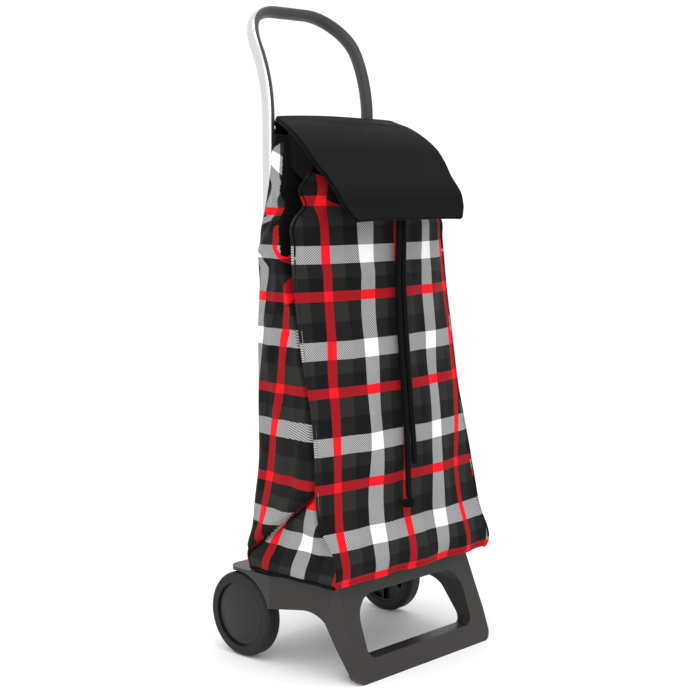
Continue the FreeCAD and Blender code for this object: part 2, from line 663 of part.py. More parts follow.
def front_section(level):
    """The front panel at one level: two arcs a fabric's thickness apart."""
    height, front, bulge, half, _, _ = level_values(level)
    thick = D["fabric"].value
    left, crest, right = Vector(-half, front, height), Vector(0, front - bulge, height), Vector(half, front, height)
    back = Vector(0, thick, 0)
    outer = Part.Arc(left, crest, right).toShape()
    inner = Part.Arc(right + back, crest + back, left + back).toShape()
    ends = [Part.LineSegment(right, right + back).toShape(), Part.LineSegment(left + back, left).toShape()]
    return Part.Wire([outer, ends[0], inner, ends[1]])


def side_section(level, side):
    """A side panel at one level, between the front and the back panel."""
    height, front, _, front_half, back_half, rear = level_values(level)
    thick, gap = D["fabric"].value, D["bag_gap"].value
    near, far = front + thick + gap, rear - thick - gap
    outline = [(front_half, near), (back_half, far), (back_half - thick, far), (front_half - thick, near)]
    return quad([(side * x, y) for x, y in outline], height)


def back_section(level):
    """The back panel at one level."""
    height, _, _, _, half, rear = level_values(level)
    thick = D["fabric"].value
    return quad([(-half, rear), (half, rear), (half, rear - thick), (-half, rear - thick)], height)


def mouth_height(y):
    """Height of the sloping plane that closes the bag's top."""
    low_y, low_z = D["mouth_low_back"].value, (DECK_TOP + D["mouth_low_rise"]).value
    high_y, high_z = (BAG_REAR - D["mouth_high_ahead"]).value, (DECK_TOP + D["mouth_high_rise"]).value
    return low_z + (high_z - low_z) * (y - low_y) / (high_y - low_y)


def slope_slab(bottom, top, y_range, half):
    """A slab between two offsets from the mouth's sloping plane."""
    y0, y1 = y_range
    outline = [Vector(-half, y0, mouth_height(y0) + bottom), Vector(-half, y1, mouth_height(y1) + bottom),
               Vector(-half, y1, mouth_height(y1) + top), Vector(-half, y0, mouth_height(y0) + top)]
    return Part.Face(Part.makePolygon(outline + outline[:1])).extrude(Vector(2 * half, 0, 0))


above_mouth = slope_slab(0, 300, (-200, 100), 250)
levels = list(BAG_LEVELS)
front_panel = Part.makeLoft([front_section(level) for level in levels[:9]], True, True).cut(above_mouth)
subpart("bag_front", feature("bag_front_panel", front_panel.Solids[0]))
for panel_side, panel_name in ((-1, "left"), (1, "right")):
    wires = [side_section(level, panel_side) for level in levels]
    panel = Part.makeLoft(wires, True, True).cut(above_mouth)
    subpart(f"bag_side_{panel_name}", feature(f"bag_side_{panel_name}_panel", panel.Solids[0]))
back_panel = Part.makeLoft([back_section(level) for level in levels], True, True)
subpart("bag_back", feature("bag_back_panel", back_panel.Solids[0]))

# The gathered collar closes the top around the mouth, under the flap.
_, neck_front, neck_bulge, _, neck_back_half, _ = level_values("neck")
neck_crest = neck_front - neck_bulge + D["fabric"].value
neck_arc = Part.Arc(Vector(-neck_back_half, neck_front, 0), Vector(0, neck_crest, 0),
                    Vector(neck_back_half, neck_front, 0))
rear_line = CROWN_REAR.value - D["fabric"].value - D["bag_gap"].value
neck_points = [Vector(neck_back_half, neck_front, 0), Vector(neck_back_half, rear_line, 0),
               Vector(-neck_back_half, rear_line, 0), Vector(-neck_back_half, neck_front, 0)]
neck_wire = Part.Wire([neck_arc.toShape(), Part.makePolygon(neck_points)])
neck_prism = Part.Face(neck_wire).extrude(Z_AXIS * FAR)
collar = slope_slab(D["bag_gap"].value, D["bag_gap"].value + D["fabric"].value, (-200, 100), 250).common(neck_prism)
mouth_box = Part.makeBox(2 * D["mouth_half"].value, D["mouth_back"].value - D["mouth_front"].value, FAR,
                         Vector(-D["mouth_half"].value, D["mouth_front"].value, 0))
subpart("drawstring_collar", feature("drawstring_collar_sheet", collar.cut(mouth_box).Solids[0]))

SOLE_TOP = BAG_FLOOR + D["sole_thickness"]
BOARD_TOP = SOLE_TOP + D["fit_gap"] + D["board_thickness"]
sole_span_y = (D["bag_sole_front"] + D["fabric"] + D["sole_inset"], BAG_REAR - D["fabric"] - D["sole_inset"])


def with_rivet_holes(name, base, z_range):
    """Drill the four rivet holes through a plate of the bag's floor."""
    holes = [rod_z(f"{name}_hole", D["rivet_diameter"] / 2 + D["fit_gap"], x, y,
                   (z_range[0] - 1, z_range[1] + 1)) for x, y in rivet_places()]
    return cut(name, base, *holes)


sole = box("sole_plate", (-D["sole_half"], D["sole_half"]), sole_span_y, (BAG_FLOOR, SOLE_TOP))
subpart("bag_sole", with_rivet_holes("sole_drilled", sole, (BAG_FLOOR, SOLE_TOP)))
board_half = D["sole_half"] - D["board_inset"]
board = box("board_plate", (-board_half, board_half),
            (sole_span_y[0] + D["board_inset"], sole_span_y[1] - D["board_inset"]),
            (SOLE_TOP + D["fit_gap"], BOARD_TOP))
subpart("base_board", with_rivet_holes("board_drilled", board, (SOLE_TOP, BOARD_TOP)))

rivets = []
for rivet_x, rivet_y in rivet_places():
    low_end = DECK_TOP - D["deck_thickness"] - D["fit_gap"]
    pin = rod_z("rivet_pin", D["rivet_diameter"] / 2, rivet_x, rivet_y, (low_end - 1, BOARD_TOP + 1))
    top_head = rod_z("rivet_top", D["rivet_head"] / 2, rivet_x, rivet_y,
                     (BOARD_TOP + D["fit_gap"], BOARD_TOP + D["fit_gap"] + D["rivet_head_height"]))
    low_head = rod_z("rivet_low", D["rivet_head"] / 2, rivet_x, rivet_y,
                     (low_end - D["rivet_head_height"], low_end))
    rivets.append(fuse("rivet", pin, top_head, low_head))
subpart("sole_rivets", group("sole_rivet_set", *rivets))


# ---------------------------------------------------------------- hanger

rod_radius = D["rod_diameter"] / 2
ROD_AT = (HANDLE_Y - D["handle_depth"] / 2 - D["rod_standoff"], DECK_TOP + D["rod_rise"])
ROD_HALF = D["handle_half"] + D["rod_past_leg"]
HANGER_INNER = D["handle_half"] - D["handle_width"] / 2 - D["hanger_wall"]
HANGER_OUTER = D["handle_half"] - D["hanger_grip"]
HANGER_REAR = HANDLE_Y + D["handle_depth"] / 2 + D["hanger_rear_wall"]
HANGER_HEIGHTS = (ROD_AT[1] - D["hanger_reach"], ROD_AT[1] + D["hanger_reach"])
subpart("hanger_rod", rod_x("hanger_rod_bar", rod_radius, (-ROD_HALF, ROD_HALF), *ROD_AT))
tape_front = CROWN_REAR - D["fabric"]
tape_top = DECK_TOP + D["flap_hinge_rise"] - D["tape_drop"]
tape_fold = D["flap_hinge_back"] + D["tape_reach"]
tape_span = (-D["tape_half"], D["tape_half"])
upright_tape = box("tape_upright", tape_span, (tape_front, CROWN_REAR), (CROWN_TOP, tape_top))
folded_tape = box("tape_fold", tape_span, (tape_fold, CROWN_REAR), (tape_top - D["fabric"], tape_top))
subpart("hinge_tape", fuse("hinge_tape_strip", upright_tape, folded_tape))
for clip_side, clip_name in ((-1, "left"), (1, "right")):
    block = box(f"hanger_block_{clip_name}", outward(clip_side, HANGER_INNER, HANGER_OUTER),
                (CROWN_REAR + D["fit_gap"], HANGER_REAR), HANGER_HEIGHTS)
    leg_way = oval_hole(f"hanger_leg_way_{clip_name}", clip_side, D["fit_gap"].value,
                        (HANGER_HEIGHTS[0] - PAST, HANGER_HEIGHTS[1] + PAST))
    rod_way = rod_x(f"hanger_rod_way_{clip_name}", rod_radius + D["running_gap"],
                    outward(clip_side, HANGER_INNER - PAST, HANGER_OUTER + PAST), *ROD_AT)
    subpart(f"hanger_clip_{clip_name}", cut(f"hanger_clip_{clip_name}_body", block, leg_way, rod_way))

loops = []
for loop_number in (-1, 0, 1):
    middle = D["loop_spacing"] * loop_number
    span = (middle - D["loop_length"] / 2, middle + D["loop_length"] / 2)
    loop_outer = rod_x("loop_outer", rod_radius + D["loop_wall"], span, *ROD_AT)
    loop_inner = rod_x("loop_inner", rod_radius + D["running_gap"], (span[0] - PAST, span[1] + PAST), *ROD_AT)
    loops.append(cut("rod_loop", loop_outer, loop_inner))
subpart("rod_loops", group("rod_loop_set", *loops))


# ---------------------------------------------------------------- flap

def flap_line(offset):
    """The flap's side view, moved a distance in from its top face."""
    stations = [(D[f"flap_{s}_back"].value, (DECK_TOP + D[f"flap_{s}_rise"]).value) for s in FLAP_STATIONS]
    moved = []
    for i, (y, z) in enumerate(stations):
        y0, z0 = stations[max(i - 1, 0)]
        y1, z1 = stations[min(i + 1, len(stations) - 1)]
        length = math.hypot(y1 - y0, z1 - z0)
        # The line runs forwards and down, so its inner side lies below and behind it.
        moved.append((y - (z1 - z0) / length * offset, z + (y1 - y0) / length * offset))
    return moved


def flap_plate(outer_offset, inner_offset, inset):
    """A plate that follows the flap, trimmed to its outline less an inset."""
    top, low = flap_line(outer_offset), flap_line(inner_offset)
    outline = [Vector(-FAR / 2, y, z) for y, z in top + low[::-1]]
    sheet_solid = Part.Face(Part.makePolygon(outline + outline[:1])).extrude(X_AXIS * FAR)
    halves = [(D[f"flap_{s}_half"].value - inset, D[f"flap_{s}_back"].value) for s in FLAP_STATIONS]
    end_reach = D["flap_end_reach"].value - inset
    halves[0] = (halves[0][0], halves[0][1] + end_reach)
    halves[-1] = (halves[-1][0], halves[-1][1] - end_reach)
    corners = [Vector(x, y, 0) for x, y in halves] + [Vector(-x, y, 0) for x, y in reversed(halves)]
    trim = Part.Face(Part.makePolygon(corners + corners[:1])).extrude(Z_AXIS * FAR)
    return sheet_solid.common(trim).Solids[0]


cover_depth = D["flap_thickness"].value
board_start = cover_depth + D["fit_gap"].value
subpart("flap_cover", feature("flap_cover_sheet", flap_plate(0, cover_depth, 0)))
subpart("flap_board", feature("flap_board_sheet",
                              flap_plate(board_start, board_start + D["flap_board"].value,
                                         D["flap_board_inset"].value)))


# ---------------------------------------------------------------- cord lock and cords

lock_x = D["lock_side"]
lock_bottom = DECK_TOP + D["lock_rise"]
lock_top = lock_bottom + D["lock_height"]
tab_back = D["mouth_low_back"] + D["tab_set"]
tab_front = tab_back - D["tab_thickness"]
lock_back = tab_front - D["fit_gap"]
lock_front = lock_back - D["lock_depth"]
lock_middle = (lock_back + lock_front) / 2

subpart("lock_tab", box("lock_tab_strip", (lock_x - D["lock_width"] / 2, lock_x + D["lock_width"] / 2),
                        (tab_front, tab_back), (lock_bottom, lock_bottom + D["tab_height"])))
lock_block = box("lock_block", (lock_x - D["lock_width"] / 2, lock_x + D["lock_width"] / 2),
                 (lock_front, lock_back), (lock_bottom, lock_top))
chamber = box("lock_chamber",
              (lock_x - D["button_width"] / 2 - D["button_gap"], lock_x + D["button_width"] / 2 + D["button_gap"]),
              (lock_middle - D["button_depth"] / 2 - D["button_gap"],
               lock_middle + D["button_depth"] / 2 + D["button_gap"]),
              (lock_bottom + D["lock_wall"], lock_top + 1))
subpart("lock_body", cut("lock_body_block", lock_block, chamber))
button_bottom = lock_top - D["button_block"]
subpart("lock_button", box("lock_button_block",
                           (lock_x - D["button_width"] / 2, lock_x + D["button_width"] / 2),
                           (lock_middle - D["button_depth"] / 2, lock_middle + D["button_depth"] / 2),
                           (button_bottom, lock_top + D["button_rise"])))
spring_floor = lock_bottom + D["lock_wall"]
spring_outer = rod_z("spring_outer", D["spring_radius"], lock_x, lock_middle, (spring_floor, button_bottom))
spring_core = rod_z("spring_core", D["spring_radius"] - D["spring_wire"], lock_x, lock_middle,
                    (spring_floor - 1, button_bottom + 1))
subpart("lock_spring", cut("lock_spring_tube", spring_outer, spring_core))


def cord_path(route):
    """Straight runs joined by tangent arcs, each as large as its runs allow."""
    points = [Vector(*p) for p in route]
    edges, start, radii = [], points[0], []
    for before, corner, after in zip(points, points[1:], points[2:]):
        run_in, run_out = corner - before, after - corner
        half_turn = run_in.getAngle(run_out) / 2
        reach = 0.45 * min(run_in.Length, run_out.Length)
        radius = reach / math.tan(half_turn)
        radii.append(radius)
        arc_start = corner - run_in.normalize() * reach
        arc_end = corner + run_out.normalize() * reach
        to_centre = (arc_start - corner).normalize() + (arc_end - corner).normalize()
        to_centre.normalize()
        arc_middle = corner + to_centre * (radius / math.cos(half_turn) - radius)
        edges.append(Part.LineSegment(start, arc_start).toShape())
        edges.append(Part.Arc(arc_start, arc_middle, arc_end).toShape())
        start = arc_end
    edges.append(Part.LineSegment(start, points[-1]).toShape())
    return Part.Wire(edges), radii


def cord_tube(name, route):
    """A round cord along a route, with its volume compared with its length."""
    path, radii = cord_path(route)
    radius = D["cord_diameter"].value / 2
    heading = Vector(*route[1]) - Vector(*route[0])
    section = Part.Wire([Part.makeCircle(radius, Vector(*route[0]), heading)])
    tube = path.makePipeShell([section], True, False)
    expected = math.pi * radius ** 2 * path.Length
    print(f"{name}: length {path.Length:.1f}, volume {tube.Volume:.0f} of {expected:.0f}, "
          f"radii {', '.join(f'{r:.0f}' for r in radii)}")
    return feature(name, tube)


subpart("cord_long", cord_tube("cord_long_tube", LONG_CORD_ROUTE))
subpart("cord_short", cord_tube("cord_short_tube", SHORT_CORD_ROUTE))

end, before_end = Vector(*LONG_CORD_ROUTE[-1]), Vector(*LONG_CORD_ROUTE[-2])
end_way = (end - before_end).normalize()
flat_offset = D["knot_radius"].value * math.sin(math.radians(D["knot_flat_angle"].value))
knot = doc.addObject("Part::Sphere", "knot_ball")
bind(knot, Radius=D["knot_radius"], Angle2=D["knot_flat_angle"])
knot.Placement = FreeCAD.Placement(end + end_way * flat_offset, FreeCAD.Rotation(Z_AXIS, -end_way))
subpart("cord_knot", knot)


# ---------------------------------------------------------------- check and write

doc.recompute()
for obj in doc.Objects:
    if "Invalid" in obj.State or "Error" in obj.State:
        raise RuntimeError(f"{obj.Label} did not build: {obj.State}")
for node, obj in subparts.items():
    if obj.Shape.isNull() or not obj.Shape.isValid() or not obj.Shape.Solids:
        raise RuntimeError(f"{node} has no valid solid")
os.makedirs("parts", exist_ok=True)
for node, obj in subparts.items():
    obj.Shape.exportStep(f"parts/{node}.step")
    bounds = obj.Shape.BoundBox
    print(f"{node}: {len(obj.Shape.Solids)} solid(s), {obj.Shape.Volume / 1000:.1f} cm3, "
          f"x {bounds.XMin:.1f}..{bounds.XMax:.1f} y {bounds.YMin:.1f}..{bounds.YMax:.1f} "
          f"z {bounds.ZMin:.1f}..{bounds.ZMax:.1f}")
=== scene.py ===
# %% [markdown]
# A shopping trolley on two wheels, finished in Blender around its CAD frame.
# The frame brings every hard piece at its real size. This lesson adds what a
# frame can't hold: soft cloth with folds, a woven tartan, moulded plastic with a
# fine grain, and a camera, floor and light to look at it by.

# %% Load the frame
import json
import math

import bmesh
import bpy
import numpy as np
from mathutils import Matrix, Vector

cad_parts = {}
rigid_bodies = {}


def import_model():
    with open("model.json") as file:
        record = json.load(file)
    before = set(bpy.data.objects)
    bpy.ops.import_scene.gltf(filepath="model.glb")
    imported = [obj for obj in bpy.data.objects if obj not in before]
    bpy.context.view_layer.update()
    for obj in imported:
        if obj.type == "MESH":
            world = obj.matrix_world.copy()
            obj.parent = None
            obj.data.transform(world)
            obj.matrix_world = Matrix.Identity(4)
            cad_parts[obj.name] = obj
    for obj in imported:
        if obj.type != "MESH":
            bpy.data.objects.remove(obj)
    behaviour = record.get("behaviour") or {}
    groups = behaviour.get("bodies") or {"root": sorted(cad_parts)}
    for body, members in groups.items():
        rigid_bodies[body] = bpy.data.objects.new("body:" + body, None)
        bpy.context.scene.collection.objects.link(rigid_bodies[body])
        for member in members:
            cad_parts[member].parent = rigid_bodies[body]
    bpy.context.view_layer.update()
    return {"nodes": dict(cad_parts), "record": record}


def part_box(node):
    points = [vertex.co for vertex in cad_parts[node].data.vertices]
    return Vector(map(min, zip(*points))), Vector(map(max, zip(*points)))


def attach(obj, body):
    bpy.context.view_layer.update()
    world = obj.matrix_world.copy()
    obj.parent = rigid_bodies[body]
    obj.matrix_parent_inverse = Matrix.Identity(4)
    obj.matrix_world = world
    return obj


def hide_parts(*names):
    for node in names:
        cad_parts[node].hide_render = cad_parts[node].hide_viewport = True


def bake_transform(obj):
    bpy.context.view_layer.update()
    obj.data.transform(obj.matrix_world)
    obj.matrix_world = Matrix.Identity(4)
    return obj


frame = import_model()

nodes = frame["nodes"]

# %% [markdown]
# The camera stands in front and to the left of the trolley, a little below the
# top of the bag, and looks slightly down. A long lens keeps the upright lines of
# the bag nearly parallel. It could be aimed with a constraint, but a place, a
# heading and a tilt say the same thing in plain numbers.

# %% Camera
CAMERA_PLACE = Vector((-1.62225, -1.53314, 0.73090))
CAMERA_HEADING, CAMERA_TILT, CAMERA_ROLL = (math.radians(a) for a in (46.415, 6.7015, -0.149))
CAMERA_LENS = 73.83


def camera_axes(heading, tilt, roll):
    """Right, up and view directions of a camera from its heading off +Y, downward tilt and roll."""
    view = Vector((math.sin(heading) * math.cos(tilt), math.cos(heading) * math.cos(tilt), -math.sin(tilt)))
    level = Vector((math.cos(heading), -math.sin(heading), 0))
    upright = level.cross(view)
    right = level * math.cos(roll) + upright * math.sin(roll)
    return right, upright * math.cos(roll) - level * math.sin(roll), view


camera = bpy.data.objects.new("camera", bpy.data.cameras.new("camera"))
bpy.context.scene.collection.objects.link(camera)
right, upright, view_way = camera_axes(CAMERA_HEADING, CAMERA_TILT, CAMERA_ROLL)
turn = Matrix((right, upright, -view_way)).transposed().to_4x4()
camera.matrix_world = Matrix.Translation(CAMERA_PLACE) @ turn
camera.data.lens = CAMERA_LENS
camera.data.clip_start, camera.data.clip_end = 0.05, 50
bpy.context.scene.camera = camera
print("camera lens", camera.data.lens, "mm")

# %% [markdown]
# Most pieces here are grids of points: one array for the places, one for the
# pattern coordinates. A grid becomes a mesh in one go, without a loop over its
# points, and a closing modifier can give the cloth its thickness.

# %% From arrays to pieces


def grid_faces(rows, columns, wrap=False):
    """Corner numbers of the quads of a grid, row by row; wrap joins the last column to the first."""
    index = np.arange(rows * columns).reshape(rows, columns)
    if wrap:
        index = np.hstack([index, index[:, :1]])
    corners = (index[:-1, :-1], index[:-1, 1:], index[1:, 1:], index[1:, :-1])
    return np.stack(corners, axis=-1).reshape(-1, 4)


def new_mesh(name, points, faces, uv=None):
    """A mesh object from an array of points, an array or list of faces and, if given, one UV per point."""
    mesh = bpy.data.meshes.new(name)
    face_list = faces.tolist() if isinstance(faces, np.ndarray) else faces
    mesh.from_pydata(np.asarray(points).reshape(-1, 3).tolist(), [], face_list)
    if uv is not None:
        corner = np.zeros(len(mesh.loops), int)
        mesh.loops.foreach_get("vertex_index", corner)
        layer = mesh.uv_layers.new(name="UVMap")
        layer.data.foreach_set("uv", np.asarray(uv, float).reshape(-1, 2)[corner].ravel())
    mesh.shade_smooth()
    obj = bpy.data.objects.new(name, mesh)
    bpy.context.scene.collection.objects.link(obj)
    return obj


def thicken(obj, thickness, offset=-1.0, rounding=0.0, levels=0):
    """Gives an open sheet its wall, inwards for offset -1, and softens the rim if asked."""
    wall = obj.modifiers.new("wall", "SOLIDIFY")
    wall.thickness, wall.offset = thickness, offset
    if rounding:
        bevel = obj.modifiers.new("rim", "BEVEL")
        bevel.width, bevel.segments, bevel.limit_method = rounding, 2, "ANGLE"
        bevel.angle_limit = math.radians(60)
    if levels:
        subdivide = obj.modifiers.new("smooth", "SUBSURF")
        subdivide.levels = subdivide.render_levels = levels
    return obj


def settle(obj, sharp_angle=40):
    """Turns the modifiers into plain mesh, and keeps edges sharper than the angle crisp."""
    bpy.context.view_layer.update()
    final = bpy.data.meshes.new_from_object(obj.evaluated_get(bpy.context.evaluated_depsgraph_get()))
    obj.modifiers.clear()
    old, obj.data = obj.data, final
    bpy.data.meshes.remove(old)
    final.set_sharp_from_angle(angle=math.radians(sharp_angle))
    return obj


def dress(obj, material, slot, body, *replaced):
    """Gives a finished piece its material and body, and hides the nodes it stands for; the slot is not used."""
    obj.data.materials.clear()
    obj.data.materials.append(material)
    if body:
        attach(obj, body)
    if replaced:
        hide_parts(*replaced)
    return obj


def smooth_curve(knots, values, at):
    """A curve through values at rising knots: a cubic on each span, with slopes taken from the neighbours."""
    knots, values, at = (np.asarray(a, float) for a in (knots, values, at))
    slopes = np.gradient(values, knots)
    span = np.clip(np.searchsorted(knots, at) - 1, 0, len(knots) - 2)
    width = knots[span + 1] - knots[span]
    t = np.clip((at - knots[span]) / width, 0, 1)
    rest = 1 - t
    return (values[span] * (1 + 2 * t) * rest ** 2 + values[span + 1] * (3 - 2 * t) * t ** 2
            + slopes[span] * width * t * rest ** 2 - slopes[span + 1] * width * rest * t ** 2)


def ridge(distance, width):
    """A soft ridge across a line: a bell curve of the distance from it."""
    return np.exp(-(distance / width) ** 2)


def tube_points(path, radius, around):
    """Rings of a round tube on a path: each ring stands square to the path, turned as little as possible."""
    path = np.asarray(path, float)
    along = np.gradient(path, axis=0)
    along /= np.linalg.norm(along, axis=1, keepdims=True)
    side = np.cross(along, (0.0, 1.0, 0.01))
    side /= np.linalg.norm(side, axis=1, keepdims=True)
    other = np.cross(along, side)
    angle = np.linspace(0, 2 * math.pi, around, endpoint=False)
    radius = np.broadcast_to(radius, (len(path), around))[:, :, None]
    spread = np.cos(angle)[None, :, None] * side[:, None] + np.sin(angle)[None, :, None] * other[:, None]
    return path[:, None] + radius * spread


def tube_mesh(name, path, radius, around=12):
    """A closed round tube on a path, with a flat cap at each end."""
    rings = tube_points(path, radius, around)
    rows = len(rings)
    faces = grid_faces(rows, around, wrap=True).tolist()
    faces.append(list(range(around - 1, -1, -1)))
    faces.append(list(range((rows - 1) * around, rows * around)))
    steps = np.linalg.norm(np.diff(np.asarray(path, float), axis=0), axis=1)
    length = np.concatenate([[0], np.cumsum(steps)])
    uv = np.stack(np.broadcast_arrays(length[:, None], np.linspace(0, 1, around)[None]), axis=-1)
    obj = new_mesh(name, rings, faces, uv)
    face_outwards(obj)
    return obj


def keep_faces(points, faces, uv, kept):
    """Only the kept faces of a mesh, with the points and UVs that they use."""
    used, corners = np.unique(faces[kept], return_inverse=True)
    return points.reshape(-1, 3)[used], corners.reshape(-1, 4), uv.reshape(-1, 2)[used]


def thread_row(name, path, normals, stitch=0.0034, gap=0.0016, radius=0.00042):
    """A row of sewn stitches on a line: each is a short six-sided thread that dips into the cloth at both ends."""
    path, normals = np.asarray(path, float), np.asarray(normals, float)
    run = np.concatenate([[0], np.cumsum(np.linalg.norm(np.diff(path, axis=0), axis=1))])
    starts = np.arange(0.5 * gap, run[-1] - stitch, stitch + gap)
    shares = np.linspace(0, 1, 5)
    at = starts[:, None] + stitch * shares
    middle = np.stack([np.interp(at, run, path[:, axis]) for axis in range(3)], axis=-1)
    out = np.stack([np.interp(at, run, normals[:, axis]) for axis in range(3)], axis=-1)
    middle = middle + out * (radius * (2.4 * np.sin(math.pi * shares) - 0.9))[None, :, None]
    heading = middle[:, -1:] - middle[:, :1]
    heading = heading / np.linalg.norm(heading, axis=-1, keepdims=True)
    across = np.cross(heading, out)
    angle = np.linspace(0, 2 * math.pi, 6, endpoint=False)
    rings = (middle[:, :, None] + radius * (np.cos(angle)[None, None, :, None] * out[:, :, None]
                                            + np.sin(angle)[None, None, :, None] * across[:, :, None]))
    sides = grid_faces(5, 6, wrap=True)
    offsets = (np.arange(len(starts)) * 30)[:, None, None]
    faces = (sides[None] + offsets).reshape(-1, 4).tolist()
    for base in range(0, 30 * len(starts), 30):
        faces += [list(range(base + 5, base - 1, -1)), list(range(base + 24, base + 30))]
    return face_outwards(new_mesh(name, rings, faces))


def face_outwards(obj):
    """Points every face of a closed mesh outwards."""
    work = bmesh.new()
    work.from_mesh(obj.data)
    bmesh.ops.recalc_face_normals(work, faces=work.faces)
    work.to_mesh(obj.data)
    work.free()
    return obj


print("helpers ready")

# %% [markdown]
# Materials are small node networks. Each one starts from a Principled shader
# whose even values are set on its sockets, and adds only what varies over the
# surface: a grain in the normal, a slight change of colour, a worn gloss.

# %% Material helpers


def new_material(name, colour, roughness, **even):
    """A Principled material; the keyword values go straight to sockets, spaces written as underscores."""
    material = bpy.data.materials.new(name)
    material.use_nodes = True
    shader = material.node_tree.nodes["Principled BSDF"]
    shader.inputs["Base Color"].default_value = (*colour, 1)
    shader.inputs["Roughness"].default_value = roughness
    for socket, value in even.items():
        shader.inputs[socket.replace("_", " ")].default_value = value
    return material, material.node_tree, shader


def node(tree, kind, **values):
    """Adds a node, sets its properties, and sets inputs whose names start with in_ by number."""
    made = tree.nodes.new("ShaderNode" + kind)
    for key, value in values.items():
        if key.startswith("in_"):
            made.inputs[int(key[3:])].default_value = value
        else:
            setattr(made, key, value)
    return made


def maths(tree, operation, first, second=None, third=None):
    """One Math node; each operand is a number or another node's output."""
    made = tree.nodes.new("ShaderNodeMath")
    made.operation = operation
    for place, operand in enumerate((first, second, third)):
        if operand is None:
            continue
        if isinstance(operand, (int, float)):
            made.inputs[place].default_value = operand
        else:
            tree.links.new(operand, made.inputs[place])
    return made.outputs[0]


def mix_colours(tree, factor, first, second, blend="MIX"):
    """One colour Mix node; each operand is a colour, a number or an output."""
    made = tree.nodes.new("ShaderNodeMix")
    made.data_type, made.blend_type = "RGBA", blend
    for place, operand in ((0, factor), (6, first), (7, second)):
        if isinstance(operand, (int, float, tuple)):
            made.inputs[place].default_value = operand
        else:
            tree.links.new(operand, made.inputs[place])
    return made.outputs[2]


def noise(tree, coordinates, scale, detail=2.0):
    """The value of a noise texture over the given coordinates."""
    made = node(tree, "TexNoise")
    made.inputs["Scale"].default_value = scale
    made.inputs["Detail"].default_value = detail
    tree.links.new(coordinates, made.inputs["Vector"])
    return made.outputs[0]


def bump(tree, shader, height, distance, strength=1.0):
    """Feeds a height, in metres of distance, to the shader's normal."""
    made = node(tree, "Bump")
    made.inputs["Distance"].default_value = distance
    made.inputs["Strength"].default_value = strength
    tree.links.new(height, made.inputs["Height"])
    tree.links.new(made.outputs[0], shader.inputs["Normal"])


def moulded_plastic(name, colour, roughness, grain=900, depth=0.00012, wear=0.10):
    """Moulded plastic: a fine spark-eroded grain, a cloudy gloss and a faint change of colour."""
    material, tree, shader = new_material(name, colour, roughness, Specular_IOR_Level=0.3)
    place = node(tree, "TexCoord").outputs["Object"]
    cloud = noise(tree, place, 14, 4)
    pale = tuple(min(1, c * 1.35 + 0.001) for c in colour)
    tree.links.new(mix_colours(tree, cloud, (*colour, 1), (*pale, 1)), shader.inputs["Base Color"])
    gloss = maths(tree, "MULTIPLY_ADD", noise(tree, place, 55, 5), wear, roughness - wear / 2)
    tree.links.new(gloss, shader.inputs["Roughness"])
    bump(tree, shader, noise(tree, place, grain, 1), depth, 0.35)
    return material


def metal(name, colour, roughness, stretch=(900, 900, 14)):
    """Metal with drawing lines: noise stretched along the piece moves the gloss and the normal."""
    material, tree, shader = new_material(name, colour, roughness, Metallic=1.0)
    place = node(tree, "TexCoord").outputs["Object"]
    mapping = node(tree, "Mapping")
    mapping.inputs["Scale"].default_value = stretch
    tree.links.new(place, mapping.inputs["Vector"])
    lines = noise(tree, mapping.outputs[0], 1, 3)
    tree.links.new(maths(tree, "MULTIPLY_ADD", lines, 0.16, roughness - 0.08), shader.inputs["Roughness"])
    bump(tree, shader, lines, 0.00002, 0.25)
    return material


def plain_weave(name, colour, roughness, pitch=0.0011, depth=0.00025, sheen=0.02):
    """Plain woven cloth on Object coordinates: three crossing thread waves, so no side is left smooth."""
    material, tree, shader = new_material(name, colour, roughness, Sheen_Weight=sheen, Sheen_Roughness=0.45,
                                          Specular_IOR_Level=0.05)
    place = node(tree, "TexCoord").outputs["Object"]
    split = node(tree, "SeparateXYZ")
    tree.links.new(place, split.inputs[0])
    waves = [maths(tree, "SINE", maths(tree, "MULTIPLY", split.outputs[axis], 2 * math.pi / pitch))
             for axis in range(3)]
    weave = maths(tree, "MULTIPLY", maths(tree, "ADD", waves[0], waves[1]), waves[2])
    height = maths(tree, "MULTIPLY_ADD", weave, 0.25, 0.5)
    cloud = noise(tree, place, 30, 4)
    pale = tuple(c * 1.7 + 0.001 for c in colour)
    shade = maths(tree, "MULTIPLY_ADD", height, 0.35, maths(tree, "MULTIPLY", cloud, 0.5))
    tree.links.new(mix_colours(tree, shade, (*colour, 1), (*pale, 1)), shader.inputs["Base Color"])
    bump(tree, shader, height, depth, 0.5)
    return material


print("material helpers ready")

# %% [markdown]
# The bag's cloth is a printed tartan on twill. Across and along it runs the same
# order of stripes: red, charcoal, black, a wide light one, charcoal, black. Where
# two stripes cross, the twill's diagonal lines show both, so a light stripe over
# a dark one turns grey, and red stays red but darkens over black. Two colour
# ramps hold the order, and the rest is arithmetic on the cloth's own coordinates.

# %% The tartan
CHARCOAL, BLACK, LIGHT = (0.019, 0.019, 0.0165), (0.0024, 0.0026, 0.0031), (0.80, 0.80, 0.82)
BRIGHT_RED, DARK_RED = (0.80, 0.006, 0.014), (0.30, 0.004, 0.009)
STRIPE_REPEAT = 0.1435
TWILL_PITCH = 0.0036
# Shares of the repeat where each colour starts, counted from the middle of a red stripe.
ALONG_STARTS = (0.054, 0.263, 0.465, 0.660, 0.807, 0.946)
ACROSS_STARTS = (0.054, 0.240, 0.430, 0.628, 0.790, 0.946)


